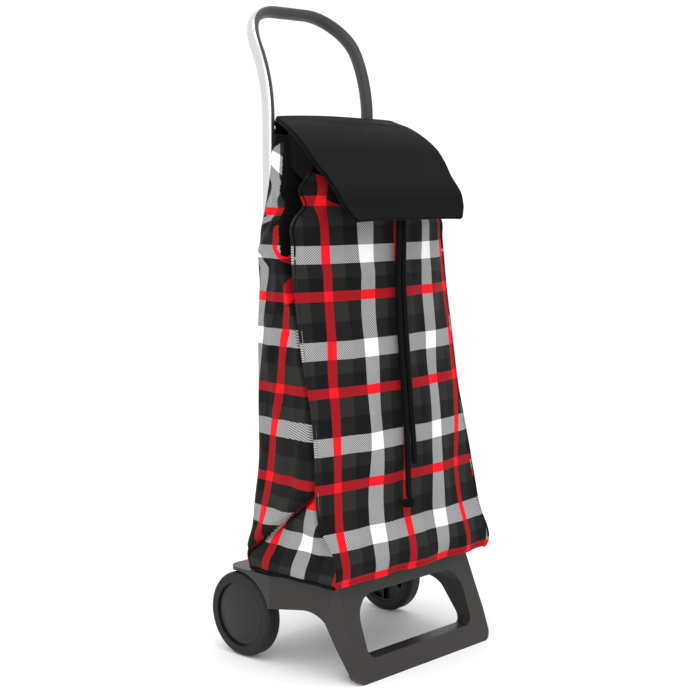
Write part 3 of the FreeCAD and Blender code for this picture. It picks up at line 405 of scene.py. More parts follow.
def stripe_ramp(tree, position, starts, colours):
    """A ramp of flat colours: the first up to starts[0], and then one more at each start."""
    ramp = node(tree, "ValToRGB")
    ramp.color_ramp.interpolation = "CONSTANT"
    elements = ramp.color_ramp.elements
    elements[0].position, elements[0].color = 0.0, (*colours[0], 1)
    elements[1].position, elements[1].color = starts[0], (*colours[1], 1)
    for start, colour in zip(starts[1:], colours[2:]):
        elements.new(start).color = (*colour, 1)
    tree.links.new(position, ramp.inputs[0])
    return ramp.outputs[0]


def tartan(name):
    """Tartan on UV coordinates counted in repeats: each way gives a stripe colour, and the twill weaves them."""
    material, tree, shader = new_material(name, CHARCOAL, 0.70, Specular_IOR_Level=0.12)
    split = node(tree, "SeparateXYZ")
    tree.links.new(node(tree, "TexCoord").outputs["UV"], split.inputs[0])
    white = (1.0, 1.0, 1.0)
    order = (white, CHARCOAL, BLACK, LIGHT, CHARCOAL, BLACK, white)
    red_order = (white, (0, 0, 0), (0, 0, 0), (0, 0, 0), (0, 0, 0), (0, 0, 0), white)
    ways, reds = [], []
    for axis, starts in ((0, ACROSS_STARTS), (1, ALONG_STARTS)):
        position = maths(tree, "FRACT", split.outputs[axis])
        ways.append(stripe_ramp(tree, position, starts, order))
        reds.append(stripe_ramp(tree, position, starts, red_order))
    darker = mix_colours(tree, 1.0, ways[0], ways[1], "DARKEN")
    lighter = mix_colours(tree, 1.0, ways[0], ways[1], "LIGHTEN")
    diagonal = maths(tree, "MULTIPLY", maths(tree, "ADD", split.outputs[0], split.outputs[1]),
                     STRIPE_REPEAT / TWILL_PITCH)
    wave = maths(tree, "PINGPONG", diagonal, 0.5)
    line = maths(tree, "SMOOTH_MIN", maths(tree, "MULTIPLY", wave, 2.2), 0.9, 0.2)
    woven = mix_colours(tree, maths(tree, "MULTIPLY", line, 0.62), darker, lighter)
    place = node(tree, "TexCoord").outputs["Object"]
    strength = maths(tree, "MULTIPLY_ADD", darker, 1.3, -0.02)
    red = mix_colours(tree, maths(tree, "MINIMUM", maths(tree, "MAXIMUM", strength, 0.0), 1.0),
                      (*DARK_RED, 1), (*BRIGHT_RED, 1))
    is_red = mix_colours(tree, 1.0, reds[0], reds[1], "LIGHTEN")
    printed = mix_colours(tree, is_red, woven, red)
    cloud = noise(tree, place, 22, 5)
    shade = maths(tree, "MULTIPLY_ADD", cloud, 0.22, 0.88)
    soft = mix_colours(tree, 1.0, printed, shade, "MULTIPLY")
    tree.links.new(soft, shader.inputs["Base Color"])
    threads = [maths(tree, "PINGPONG", maths(tree, "MULTIPLY", split.outputs[axis], STRIPE_REPEAT / 0.0009), 0.5)
               for axis in (0, 1)]
    height = maths(tree, "ADD", maths(tree, "MULTIPLY", wave, 1.2), maths(tree, "ADD", *threads))
    bump(tree, shader, height, 0.00018, 0.5)
    return material


TARTAN = tartan("tartan_twill")
BLACK_CLOTH = plain_weave("black_nylon", (0.0018, 0.0018, 0.0022), 0.62)
BASE_PLASTIC = moulded_plastic("charcoal_moulding", (0.0200, 0.0185, 0.0172), 0.34)
BLACK_PLASTIC = moulded_plastic("black_moulding", (0.0050, 0.0050, 0.0050), 0.36)
GREY_PLASTIC = moulded_plastic("grey_grip", (0.030, 0.030, 0.031), 0.40)
BEARING_PLASTIC = moulded_plastic("pale_nylon", (0.55, 0.53, 0.48), 0.45)
TYRE_FOAM = moulded_plastic("tyre_foam", (0.0060, 0.0058, 0.0056), 0.60, grain=420, depth=0.0003)
ALUMINIUM = metal("bright_rail", (0.66, 0.67, 0.69), 0.24)
ZINC = metal("zinc_plate", (0.62, 0.63, 0.64), 0.30, stretch=(14, 900, 900))
CORD_CLOTH = plain_weave("cord_yarn", (0.0032, 0.0032, 0.0036), 0.75, pitch=0.0014, sheen=0.01)
BOARD = moulded_plastic("grey_board", (0.16, 0.15, 0.14), 0.7, grain=300, depth=0.0004)
print("materials", len(bpy.data.materials))

# %% [markdown]
# Every CAD node that stays in sight gets the finish of its record slot. The nodes
# come in grey, so this is a table from slot to finish and one loop.

# %% Finish the carried-over nodes
FINISH = {"tyre_rubber": TYRE_FOAM, "black_plastic": BLACK_PLASTIC, "base_plastic": BASE_PLASTIC,
          "bearing_plastic": BEARING_PLASTIC, "zinc_steel": ZINC, "bright_aluminium": ALUMINIUM,
          "grey_plastic": GREY_PLASTIC, "plaid_fabric": TARTAN, "black_fabric": BLACK_CLOTH,
          "board": BOARD, "black_cord": CORD_CLOTH}
for part in frame["record"]["subparts"]:
    piece = nodes[part["node"]]
    piece.data.materials.clear()
    piece.data.materials.append(FINISH[part["material_slot"]])
print("finished nodes", len(nodes))

# %% [markdown]
# Two drawstring ends hang from the lock under the flap and lie on the front of
# the bag. Their routes are lists of points; a smooth spline runs along them, and
# the braid is a round tube on points read back from that spline, with a low
# plaited relief on its skin.

# %% Drawstrings
CORD_DIAMETER = 0.0094
LONG_ROUTE = [
    (0.0070, -0.0858, 0.684), (0.0070, -0.0858, 0.652), (0.0082, -0.0814, 0.592), (0.0076, -0.0860, 0.525),
    (0.0062, -0.0926, 0.458), (0.0036, -0.1018, 0.392), (0.0004, -0.1096, 0.330), (-0.0062, -0.1168, 0.276),
    (-0.0094, -0.1216, 0.252),
]
SHORT_ROUTE = [
    (0.0168, -0.0858, 0.684), (0.0170, -0.0862, 0.652), (0.0180, -0.0838, 0.590), (0.0172, -0.0890, 0.522),
    (0.0156, -0.0962, 0.456), (0.0132, -0.1050, 0.390), (0.0102, -0.1128, 0.336), (0.0086, -0.1174, 0.302),
]


def spline_points(name, route, resolution=24):
    """Points along the smooth spline that has the route as its control points."""
    curve = bpy.data.curves.new(name, "CURVE")
    curve.dimensions, curve.resolution_u = "3D", resolution
    spline = curve.splines.new("NURBS")
    spline.points.add(len(route) - 1)
    spline.points.foreach_set("co", np.column_stack([route, np.ones(len(route))]).ravel())
    spline.order_u = 3
    spline.use_endpoint_u = True
    holder = bpy.data.objects.new(name, curve)
    mesh = bpy.data.meshes.new_from_object(holder)
    points = np.zeros(len(mesh.vertices) * 3)
    mesh.vertices.foreach_get("co", points)
    for data, store in ((holder, bpy.data.objects), (mesh, bpy.data.meshes), (curve, bpy.data.curves)):
        store.remove(data)
    return points.reshape(-1, 3)


def resample(path, spacing):
    """Points at an even spacing along a line, by its running length."""
    steps = np.linalg.norm(np.diff(path, axis=0), axis=1)
    length = np.concatenate([[0], np.cumsum(steps)])
    at = np.linspace(0, length[-1], max(2, round(length[-1] / spacing)))
    return np.column_stack([np.interp(at, length, path[:, axis]) for axis in range(3)]), length[-1]


def braid(name, route, around=16, spacing=0.0016, plait=0.0075):
    """A braided cord: the radius swells where two sets of strands, one each way round, cross over."""
    path, length = resample(spline_points(name + "_line", route), spacing)
    run = np.linspace(0, length, len(path))[:, None]
    angle = np.linspace(0, 2 * math.pi, around, endpoint=False)[None]
    strands = np.sin(3 * angle + 2 * math.pi * run / plait) * np.sin(3 * angle - 2 * math.pi * run / plait)
    taper = np.sqrt(np.clip(1 - np.clip(1 - (length - run) / 0.0035, 0, 1) ** 2, 0.04, 1))
    radius = CORD_DIAMETER / 2 * (0.97 + 0.05 * strands) * taper
    return tube_mesh(name, path, radius, around), path, length


long_cord, long_line, long_length = braid("drawstring_long", LONG_ROUTE)
short_cord, short_line, short_length = braid("drawstring_short", SHORT_ROUTE)
dress(long_cord, CORD_CLOTH, "black_cord", "trolley", "cord_long")
dress(short_cord, CORD_CLOTH, "black_cord", "trolley", "cord_short")
print("drawstrings", round(long_length, 4), round(short_length, 4))

# %% [markdown]
# The long end is tied in an overhand knot, which keeps the cord in its lock. A
# knot like that is a trefoil: three lobes that pass over and under each other.

# %% Overhand knot
KNOT_SIZE = 0.0027


def trefoil(centre, along, size, count=72):
    """A closed three-lobed line, flattened along the cord's heading: sine and double-sine waves round a ring."""
    angle = np.linspace(0, 2 * math.pi, count, endpoint=False)
    flat = np.stack([np.sin(angle) + 1.7 * np.sin(2 * angle), np.cos(angle) - 1.7 * np.cos(2 * angle),
                     -1.1 * np.sin(3 * angle)], axis=-1) * size
    way = Vector(along).normalized()
    turn_to = np.array(Vector((0, 0, 1)).rotation_difference(way).to_matrix())
    return centre + flat @ turn_to.T


knot_low, knot_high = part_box("cord_knot")
knot_way = long_line[-1] - long_line[-4]
knot_path = trefoil(np.array((knot_low + knot_high) / 2), knot_way, KNOT_SIZE)
knot_rings = tube_points(knot_path, CORD_DIAMETER / 2 * 0.86, 12)
knot_index = np.arange(knot_rings.shape[0] * 12).reshape(-1, 12)
knot_rows = np.vstack([knot_index, knot_index[:1]])
knot_rows = np.hstack([knot_rows, knot_rows[:, :1]])
knot_faces = np.stack([knot_rows[:-1, :-1], knot_rows[:-1, 1:], knot_rows[1:, 1:], knot_rows[1:, :-1]],
                      axis=-1).reshape(-1, 4)
knot = face_outwards(new_mesh("drawstring_knot", knot_rings, knot_faces))
dress(knot, CORD_CLOTH, "black_cord", "trolley", "cord_knot")
print("knot", len(knot.data.polygons), "faces")

# %% [markdown]
# The bag is four cloth panels sewn along upright seams. Its outline changes with
# height, so each measure of it is a smooth curve over height: how far forward the
# front corners stand, how much the stuffed front swells past them, and the half
# widths at the front and at the rear.

# %% The bag's outline
HEM_HEIGHT, SHOULDER_FRONT, SHOULDER_RISE = 0.1465, 0.718, 0.027
REAR_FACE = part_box("bag_back")[1].y
CROWN_SETBACK = 0.0111
FLAP_BACK = np.array([0.0420, 0.0030, -0.0410, -0.0560, -0.0740, -0.0970, -0.1060, -0.1140])
FLAP_TOP = np.array([0.828, 0.811, 0.778, 0.760, 0.739, 0.710, 0.691, 0.676])
LEVELS = np.array([0.1405, 0.155, 0.235, 0.345, 0.480, 0.625, 0.713, 0.745, 0.780, 0.800])
FRONT_EDGE = np.array([-0.124, -0.129, -0.100, -0.082, -0.056, -0.036, -0.034, -0.038, -0.038, -0.038])
SWELL = np.array([0.003, 0.003, 0.011, 0.018, 0.026, 0.036, 0.042, 0.042, 0.042, 0.042])
FRONT_LEVELS = np.array([0.1405, 0.155, 0.199, 0.235, 0.285, 0.335, 0.386, 0.473, 0.554, 0.642, 0.668, 0.713, 0.745,
                         0.780])
FRONT_HALF = np.array([0.174, 0.175, 0.172, 0.179, 0.177, 0.171, 0.167, 0.169, 0.169, 0.167, 0.163, 0.150, 0.134,
                       0.126])
REAR_LEVELS = np.array([0.1405, 0.165, 0.184, 0.211, 0.246, 0.295, 0.372, 0.475, 0.565, 0.641, 0.663, 0.689, 0.725,
                        0.745, 0.800])
REAR_HALF = np.array([0.178, 0.184, 0.178, 0.172, 0.167, 0.159, 0.155, 0.153, 0.150, 0.148, 0.145, 0.138, 0.129,
                      0.125, 0.122])


def flap_roof(y):
    """Height of the flap's top above a place, going back."""
    return np.interp(-y, -FLAP_BACK, FLAP_TOP)


def front_edge(z):
    """How far forward the front corners stand at a height."""
    return smooth_curve(LEVELS, FRONT_EDGE, z)


def front_half(z):
    """Half width at the front corners: the measured curve, with two soft waves where the cloth buckles."""
    wave = 0.006 * ridge(z - 0.722, 0.010) - 0.015 * ridge(z - 0.695, 0.013) + 0.005 * ridge(z - 0.662, 0.014)
    return smooth_curve(FRONT_LEVELS, FRONT_HALF, z) + wave


def rear_half(z):
    """Half width at the rear corners."""
    return smooth_curve(REAR_LEVELS, REAR_HALF, z)


def rear_edge(z):
    """The back panel's face, which leans forward over its last centimetres."""
    lean = np.clip((z - 0.770) / 0.030, 0, 1)
    return REAR_FACE - 0.0005 - CROWN_SETBACK * lean ** 2 * (3 - 2 * lean)


print("bag outline at", len(LEVELS), "levels")

# %% [markdown]
# The front panel is one swelling sheet. Across, it is a shallow arch between its
# corners; down, it leans out to the hem. Slack cloth adds dents: long soft ones
# that hang from the corners and short ones by the hem. The tartan is laid on by
# length along the cloth, and leans a little, because the panel is cut off the
# straight grain.

# %% Front panel
RED_LEVELS_FRONT = ([0.012, 0.150, 0.285, 0.422, 0.563, 0.703, 0.845], [4.0, 3.0, 2.0, 1.0, 0.0, -1.0, -2.0])
RED_MIDDLE = ([0.15, 0.182, 0.240, 0.300, 0.400, 0.494, 0.515, 0.595, 0.614, 0.683, 0.760],
              [-0.015, -0.012, -0.002, 0.006, 0.014, 0.020, 0.020, 0.021, 0.018, 0.015, 0.016])
RIGHT_TURN = 0.022  # how far the stripes draw together low on the right, where the cloth turns away
CLOTH = 0.0016


def front_surface(s, z):
    """Points of the front panel: s runs from -1 to 1 between the corners, z is the height."""
    half, edge = front_half(z), front_edge(z)
    swell = smooth_curve(LEVELS, SWELL, z)
    arch = 1 - np.abs(s) ** 2.5
    pull = ridge(z - 0.66, 0.05) * (ridge(np.abs(s) - 0.80, 0.09) * 0.0035 - ridge(np.abs(s) - 0.93, 0.05) * 0.003)
    drape = (0.0022 * np.sin(9.0 * s + 14 * z) + 0.0014 * np.sin(17 * s - 31 * z + 1.0)
             + 0.0012 * np.sin(5.0 * s + 47 * z)) * arch * (1 - 0.85 * ridge(s - 0.05, 0.16))
    hem_wave = 0.0035 * np.sin(11 * s + 0.6) * ridge(z - HEM_HEIGHT, 0.035) * arch
    return np.stack([s * half, edge - swell * arch - drape - pull - hem_wave, z], axis=-1)


def front_pattern(s, z):
    """Tartan coordinates of the front panel, in repeats: length across the arch less the lean, and level."""
    half, swell = front_half(z), smooth_curve(LEVELS, SWELL, z)
    across = s * half * (1 + 0.667 * (swell / half) ** 2 * s ** 2)
    right_part, low_part = np.clip((s - 0.35) / 0.5, 0, 1) ** 2, np.clip((0.40 - z) / 0.12, 0, 1)
    red_line = np.interp(z, *RED_MIDDLE) - RIGHT_TURN * right_part * low_part
    return np.stack([(across - red_line) / STRIPE_REPEAT + 8, np.interp(z, *RED_LEVELS_FRONT) + 8], axis=-1)


def front_grid(columns, rows):
    """The panel's grid: rows run from the hem to the shoulder, which rises towards the corners."""
    s = np.broadcast_to(np.linspace(-1, 1, columns), (rows, columns))
    top = SHOULDER_FRONT + SHOULDER_RISE * s ** 2
    z = HEM_HEIGHT + np.linspace(0, 1, rows)[:, None] * (top - HEM_HEIGHT)
    return s, z


s_front, z_front = front_grid(141, 221)
front_points = front_surface(s_front, z_front)
front_panel = new_mesh("bag_front_panel", front_points, grid_faces(*s_front.shape), front_pattern(s_front, z_front))
settle(thicken(front_panel, CLOTH))
dress(front_panel, TARTAN, "plaid_fabric", "trolley", "bag_front")
print("front panel", len(front_panel.data.polygons), "faces")

# %% [markdown]
# Each side panel is a gusset that folds inwards just behind the front seam, so a
# dark valley runs down it. At the foot the cloth is tucked like gift wrap: a
# diagonal crease runs from the front seam down to the rear corner, and the
# triangle below it stands out towards the hem. The crease is a line in the side
# view, and what happens to the cloth depends only on the distance from it. High
# up, the fold is painted shade: black cloth laid in it stands in for its deep
# shadow. Along the top the black is the real collar cloth. The painted shade and
# the collar band make a piece of their own.

# %% Side panels
RED_LEVELS_SIDE = ([0.017, 0.152, 0.287, 0.4225, 0.559, 0.6865, 0.820], [4.0, 3.0, 2.0, 1.0, 0.0, -1.0, -2.0])
RED_SIDE = ([0.20, 0.2245, 0.2855, 0.3586, 0.4205, 0.498, 0.560, 0.600, 0.640, 0.690, 0.80],
            [0.054, 0.0494, 0.0375, 0.0255, 0.014, 0.0017, -0.0085, -0.012, -0.022, -0.036, -0.042])
LIP_LEVELS = [0.140, 0.250, 0.480, 0.560, 0.600, 0.640, 0.661, 0.682, 0.704, 0.721, 0.745, 0.790]
LIP_PLACE = [-0.105, -0.085, -0.045, -0.028, -0.016, -0.008, -0.004, 0.000, 0.008, 0.014, 0.020, 0.026]
VALLEY_DEPTH = [0.000, 0.009, 0.010, 0.024, 0.040, 0.050, 0.052, 0.052, 0.050, 0.048, 0.044, 0.030]
FORWARD_START, FORWARD_SHARE = 0.025, 0.28
FOLD_SHADE_FOOT, SIGHT_LINE, SIGHT_PLANE, SIGHT_FALL = 0.622, 0.953, 0.150, 0.162
CREASE_START, CREASE_END = (-0.030, 0.238), (0.066, 0.166)
TUCK_RED_PLACE, TUCK_RED_LEAN, TUCK_LEVEL_SHIFT = 0.0056, -0.30, 0.026
SIDE_TOP = ([-0.060, -0.038, -0.018, -0.004, 0.013, 0.037, 0.050, 0.064],
            [0.740, 0.745, 0.750, 0.768, 0.783, 0.790, 0.776, 0.752])


def crease_distance(y, z):
    """Height above the gift-wrap crease, measured square to it."""
    (y0, z0), (y1, z1) = CREASE_START, CREASE_END
    length = math.hypot(y1 - y0, z1 - z0)
    return ((y - y0) * (z0 - z1) + (z - z0) * (y1 - y0)) / length


def lip_share(z):
    """Where the fold's rear lip stands, as a share of the way from the front seam to the rear one."""
    return (np.interp(z, LIP_LEVELS, LIP_PLACE) - front_edge(z)) / (rear_edge(z) - front_edge(z)) + 0.02


def side_surface(t, z, side):
    """Points of a side panel: t runs from 0 at the front seam to 1 at the rear one, z is the height."""
    edge, rear = front_edge(z), rear_edge(z)
    y = edge + t * (rear - edge)
    bend = t * t * (3 - 2 * t)
    half = front_half(z) * (1 - bend) + rear_half(z) * bend
    depth, lip_t = np.interp(z, LIP_LEVELS, VALLEY_DEPTH), lip_share(z)
    fall = np.clip(t / 0.05, 0, 1) ** 0.8
    rise = np.clip((t - 0.45 * lip_t) / (0.62 * lip_t), 0, 1)
    valley = depth * fall * (1 - rise * rise * (3 - 2 * rise)) - 0.004 * ridge(t - 1.25 * lip_t, 0.10) * (z > 0.55)
    billow = 0.007 * np.sin(math.pi * np.clip((t - 0.35) / 0.65, 0, 1)) * ridge(z - 0.52, 0.22)
    turn_in = 0.010 * np.clip((t - 0.90) / 0.10, 0, 1) ** 2
    above = crease_distance(y, z)
    lip = 0.0045 * ridge(above - 0.012, 0.012) - 0.0085 * ridge(above + 0.0005, 0.0045)
    below = np.clip(-above / 0.050, 0, 1)
    inside = np.clip((y - edge) / 0.012, 0, 1)
    tuck = (lip - 0.006 * (1 - below) * (above < 0)) * inside
    slack = (0.0022 * np.sin(21 * t + 19 * z) * np.sin(33 * z + 1) + 0.0035 * ridge(z - 0.668 + 0.10 * (t - 0.5), 0.014)
             - 0.003 * ridge(z - 0.700 + 0.14 * (t - 0.5), 0.012) - 0.002 * ridge(z - 0.535 - 0.10 * (t - 0.5), 0.012))
    x = half - valley + billow - turn_in + tuck + slack * inside * (1 - np.clip((t - 0.9) / 0.1, 0, 1))
    return np.stack([side * x, y, z], axis=-1)


def side_pattern(t, z):
    """Tartan coordinates of a side panel; this cloth is cut the other way up, and the tuck has its own lie.

    The red stripe's place is given on one upright plane. Where the cloth lies deeper than that plane, the
    stripe moves back along the camera's line of sight. Far ahead of it, the stripes are drawn out wide.
    """
    edge, rear = front_edge(z), rear_edge(z)
    y = edge + t * (rear - edge)
    red_t = (np.interp(z, *RED_SIDE) - edge) / (rear - edge)
    inset = SIGHT_PLANE - np.abs(side_surface(red_t, z, 1)[..., 0])
    back = y - np.interp(z, *RED_SIDE) - SIGHT_LINE * np.clip(inset, -0.02, 0.03)
    across = (np.maximum(FORWARD_SHARE * (-back - FORWARD_START), 0) + np.minimum(-back, FORWARD_START)) / STRIPE_REPEAT
    rumple = 0.55 * (y - 0.035) * np.clip((z - 0.690) / 0.05, 0, 1)
    level = -np.interp(z + SIGHT_FALL * inset - rumple, *RED_LEVELS_SIDE)
    low = crease_distance(y, z) < 0
    tuck_across = (y - (TUCK_RED_PLACE + TUCK_RED_LEAN * (z - 0.1935))) / STRIPE_REPEAT
    tuck_level = -np.interp(z + TUCK_LEVEL_SHIFT, *RED_LEVELS_SIDE)
    return np.stack([np.where(low, tuck_across, across) + 8, np.where(low, tuck_level, level) + 8], axis=-1)


def side_grid(columns, rows):
    """The panel's grid: rows run from the foot to a top edge that dips at both seams."""
    t = np.broadcast_to(np.linspace(0, 1, columns) ** 1.25, (rows, columns))
    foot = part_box("bag_sole")[0].z + 0.002
    line = np.linspace(0, 1, rows)[:, None]
    y_top = front_edge(np.array(0.76)) + t * (REAR_FACE - front_edge(np.array(0.76)))
    top = np.minimum(0.800, flap_roof(y_top) - 0.012)
    return t, foot + line * (top - foot)


t_side, z_side = side_grid(91, 301)
side_quads = grid_faces(*t_side.shape)
quad_t, quad_z = (grid.ravel()[side_quads].mean(axis=1) for grid in (t_side, z_side))
quad_y = front_edge(quad_z) + quad_t * (REAR_FACE - front_edge(quad_z))
# Painted shade: above the foot height the deep fold gets black cloth in place of its shadow; above the top line the
# black is the real collar cloth.
fold_shade_and_collar_faces = ((quad_t < lip_share(quad_z) * 1.04) & (quad_z > FOLD_SHADE_FOOT)) | (quad_z > smooth_curve(*SIDE_TOP, quad_y))
for side, side_name in ((-1, "left"), (1, "right")):
    points, pattern = side_surface(t_side, z_side, side), side_pattern(t_side, z_side)
    for name, kept, cloth, slot in ((f"bag_side_panel_{side_name}", ~fold_shade_and_collar_faces, TARTAN, "plaid_fabric"),
                                    (f"bag_fold_shade_and_collar_{side_name}", fold_shade_and_collar_faces, BLACK_CLOTH, "black_fabric")):
        piece = new_mesh(name, *keep_faces(points, side_quads, pattern, kept))
        if side < 0:
            piece.data.flip_normals()
        settle(thicken(piece, CLOTH), 60)
        dress(piece, cloth, slot, "trolley", *([f"bag_side_{side_name}"] if cloth is TARTAN else []))
        print(name, len(piece.data.polygons), "faces")

# %% [markdown]
# The back panel hangs flat behind the handle. It only sags a little between its
# seams, and its tartan carries on at the level of the sides.

# %% Back panel
s_back = np.broadcast_to(np.linspace(-1, 1, 111), (201, 111))
z_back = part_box("bag_back")[0].z + 0.002 + np.linspace(0, 1, 201)[:, None] * (0.799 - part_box("bag_back")[0].z - 0.002)
z_back = np.broadcast_to(z_back, s_back.shape)


def back_surface(s, z):
    """Points of the back panel: flat, with shallow upright waves that fade out at the seams."""
    half = rear_half(z) - 0.0095
    dent = (0.0035 * np.sin(7 * s + 9 * z) ** 2 + 0.0025 * np.sin(13 * s - 17 * z) ** 2) * (1 - s ** 4)
    return np.stack([s * half, rear_edge(z) - dent * np.clip((0.80 - z) / 0.05, 0, 1), z], axis=-1)


back_uv = np.stack([s_back * rear_half(z_back) / STRIPE_REPEAT + 8, -np.interp(z_back, *RED_LEVELS_SIDE) + 8], axis=-1)
back_panel = new_mesh("bag_back_panel", back_surface(s_back, z_back), grid_faces(*s_back.shape), back_uv)
back_panel.data.flip_normals()
settle(thicken(back_panel, CLOTH))
dress(back_panel, TARTAN, "plaid_fabric", "trolley", "bag_back")
print("back panel", len(back_panel.data.polygons), "faces")

# %% [markdown]
# Where front and side meet, the two raw edges are rolled together into a seam. It
# stands a little proud and catches the light, in the colours of the front panel.

# %% Rolled seams
SEAM_RADIUS, SEAM_STEPS, SEAM_AROUND = 0.0024, 240, 10


def edged(name, line, pattern, radius=SEAM_RADIUS):
    """A rolled edge of plaid cloth along a line, with one tartan coordinate for each ring of the roll."""
    roll = tube_mesh(name, line, radius, SEAM_AROUND)
    corner = np.zeros(len(roll.data.loops), int)
    roll.data.loops.foreach_get("vertex_index", corner)
    ring = np.minimum(corner // SEAM_AROUND, len(line) - 1)
    roll.data.uv_layers[0].data.foreach_set("uv", pattern[ring].ravel())
    return dress(roll, TARTAN, "plaid_fabric", "trolley")


seam_z = np.linspace(HEM_HEIGHT + 0.003, SHOULDER_FRONT + SHOULDER_RISE - 0.001, SEAM_STEPS)
for side, side_name in ((-1.0, "left"), (1.0, "right")):
    seam_line = front_surface(np.full(SEAM_STEPS, side), seam_z) + (0, 0.0006, 0)
    edged(f"bag_seam_{side_name}", seam_line, front_pattern(np.full(SEAM_STEPS, side * 0.97), seam_z))
hem_s, hem_z = np.linspace(-1, 1, SEAM_STEPS), np.full(SEAM_STEPS, HEM_HEIGHT + 0.0012)
hem_line = front_surface(hem_s, hem_z) + (0, 0.0006, 0)
edged("bag_hem_front", hem_line, front_pattern(hem_s, np.full(SEAM_STEPS, 0.150)), 0.0026)
# A black band runs along the foot of each side panel.
for side, side_name in ((-1, "left"), (1, "right")):
    foot_t = np.linspace(0.01, 0.995, 120)
    foot_line = side_surface(foot_t, np.full(120, 0.1455), side)
    dress(tube_mesh(f"bag_side_foot_band_{side_name}", foot_line, 0.0030, 12), BLACK_CLOTH, "black_fabric", "trolley")
print("seams and hems", 5)

# %% [markdown]
# Inside the mouth sits a collar of thin black cloth. It stands up as a wall
# inside the top of the bag, turns over just under the flap and runs down to the
# mouth, where the drawstring gathers it. Around the mouth the gathers are a wave
# of many small pleats that grows towards the drawn edge.

# %% Drawstring collar
MOUTH_FRONT, MOUTH_FRONT_HEIGHT, MOUTH_SLOPE = -0.078, 0.718, 0.682
COLLAR_HALF, COLLAR_MIDDLE, COLLAR_DEPTH = 0.1235, -0.0130, 0.0635
COLLAR_ROWS, COLLAR_STEPS, PLEATS = 46, 360, 34


def squared(value, power):
    """A sine or cosine pushed towards its ends, which squares up a round outline."""
    return np.sign(value) * np.abs(value) ** power


def collar_surface(angle, v):
    """Points of the collar: angle runs round the bag, v from the hidden foot of the wall to the drawn mouth."""
    fold = np.clip((v - 0.42) / 0.58, 0, 1)
    wall = np.clip(v / 0.42, 0, 1)
    plan = 1 - 0.50 * fold ** 0.85 - 0.02 * wall
    gather = fold * 0.020 * np.sin(PLEATS * angle) + fold * 0.010 * np.sin(17 * angle + 1)
    crumple = wall * (1 - fold) * (0.016 * np.sin(9 * angle + 2 * v) + 0.010 * np.sin(23 * angle - 3 * v))
    plan = plan + gather + crumple * 0.5
    x = COLLAR_HALF * squared(np.cos(angle), 0.55) * plan
    y = COLLAR_MIDDLE + COLLAR_DEPTH * squared(np.sin(angle), 0.55) * np.clip(plan, 0.38, 1.1)
    mouth = MOUTH_FRONT_HEIGHT + MOUTH_SLOPE * (y - MOUTH_FRONT)
    roof = flap_roof(y) - 0.0095
    foot = mouth - 0.030
    top = roof - 0.0015 * (1 + np.sin(11 * angle))
    drawn = np.minimum(mouth + 0.006, roof - 0.008) + 0.0022 * np.sin(PLEATS * angle + 0.8)
    z = foot + (top - foot) * np.sin(0.5 * math.pi * wall)
    z = z + (drawn - z) * fold ** 1.3
    return np.stack([x, y, z], axis=-1)


angle_grid, v_grid = np.meshgrid(np.linspace(0, 2 * math.pi, COLLAR_STEPS, endpoint=False),
                                 np.linspace(0, 1, COLLAR_ROWS))
collar = new_mesh("mouth_collar", collar_surface(angle_grid, v_grid), grid_faces(COLLAR_ROWS, COLLAR_STEPS, wrap=True))
settle(thicken(collar, 0.0011), 70)
dress(collar, BLACK_CLOTH, "black_fabric", "trolley", "drawstring_collar")
print("collar", len(collar.data.polygons), "faces")

# %% [markdown]
# The flap is stiffened cloth: a board sits inside it, so it keeps a clean bend
# over the top of the bag and a straight front edge with two clipped corners. Its
# side view is a curve through a few stations, its outline a second one.

# %% Flap
FLAP_HALF = np.array([0.128, 0.140, 0.147, 0.146, 0.139, 0.137, 0.131, 0.119])
FLAP_THICKNESS = 0.0032


def flap_run():
    """Running length along the flap's side view at each station."""
    steps = np.hypot(np.diff(FLAP_BACK), np.diff(FLAP_TOP))
    return np.concatenate([[0], np.cumsum(steps)])


def flap_surface(s, w):
    """Points of the flap: s runs across from -1 to 1, w along the cloth from the hinge to the front edge."""
    run = flap_run()
    y, z = smooth_curve(run, FLAP_BACK, w), smooth_curve(run, FLAP_TOP, w)
    half = np.interp(w, run, FLAP_HALF) * 0.6 + smooth_curve(run, FLAP_HALF, w) * 0.4
    slope = np.gradient(np.stack([smooth_curve(run, FLAP_BACK, run), smooth_curve(run, FLAP_TOP, run)]), run, axis=1)
    normal_y, normal_z = np.interp(w, run, slope[1]), -np.interp(w, run, slope[0])
    x = s * half
    crease = (0.0022 * ridge(w - 0.022 - 0.10 * (x - 0.05), 0.007) * ridge(x - 0.085, 0.045)
              - 0.0016 * ridge(w - 0.034 - 0.05 * (x + 0.03), 0.010) * ridge(x + 0.01, 0.07)
              + 0.0012 * np.sin(30 * x + 2) * ridge(w - 0.02, 0.03))
    droop = -0.0025 * np.abs(s) ** 6
    lift = crease + droop
    return np.stack([x, y - lift * normal_y, z + lift * normal_z], axis=-1)


s_flap = np.broadcast_to(np.linspace(-1, 1, 121), (141, 121))
w_flap = np.broadcast_to((np.linspace(0, 1, 141) * flap_run()[-1])[:, None], s_flap.shape)
flap_piece = new_mesh("flap_cloth", flap_surface(s_flap, w_flap), grid_faces(*s_flap.shape))
settle(thicken(flap_piece, FLAP_THICKNESS, rounding=0.0008), 35)
dress(flap_piece, BLACK_CLOTH, "black_fabric", "flap", "flap_cover", "flap_board")
print("flap", len(flap_piece.data.polygons), "faces")

# %% [markdown]
# A narrow binding runs round the flap's free edges, and inside it a row of
# stitches holds the board in. At the back a strip of the same cloth joins the
# flap to the bag: that strip is the hinge.

# %% Flap binding, stitches and hinge
BINDING_RADIUS, STITCH_INSET = 0.0021, 0.011


def flap_outline(inset, steps=90):
    """A line round the flap's free edges at an inset: down the left side, across the front, up the right side."""
    reach = flap_run()[-1]
    sides, fronts = np.linspace(0.004, reach - inset, steps), np.linspace(-1, 1, steps)
    half = np.interp(sides, flap_run(), FLAP_HALF)
    share = 1 - inset / half
    s = np.concatenate([-share, fronts[1:-1] * share[-1], share[::-1]])
    w = np.concatenate([sides, np.full(steps - 2, reach - inset), sides[::-1]])
    return s, w


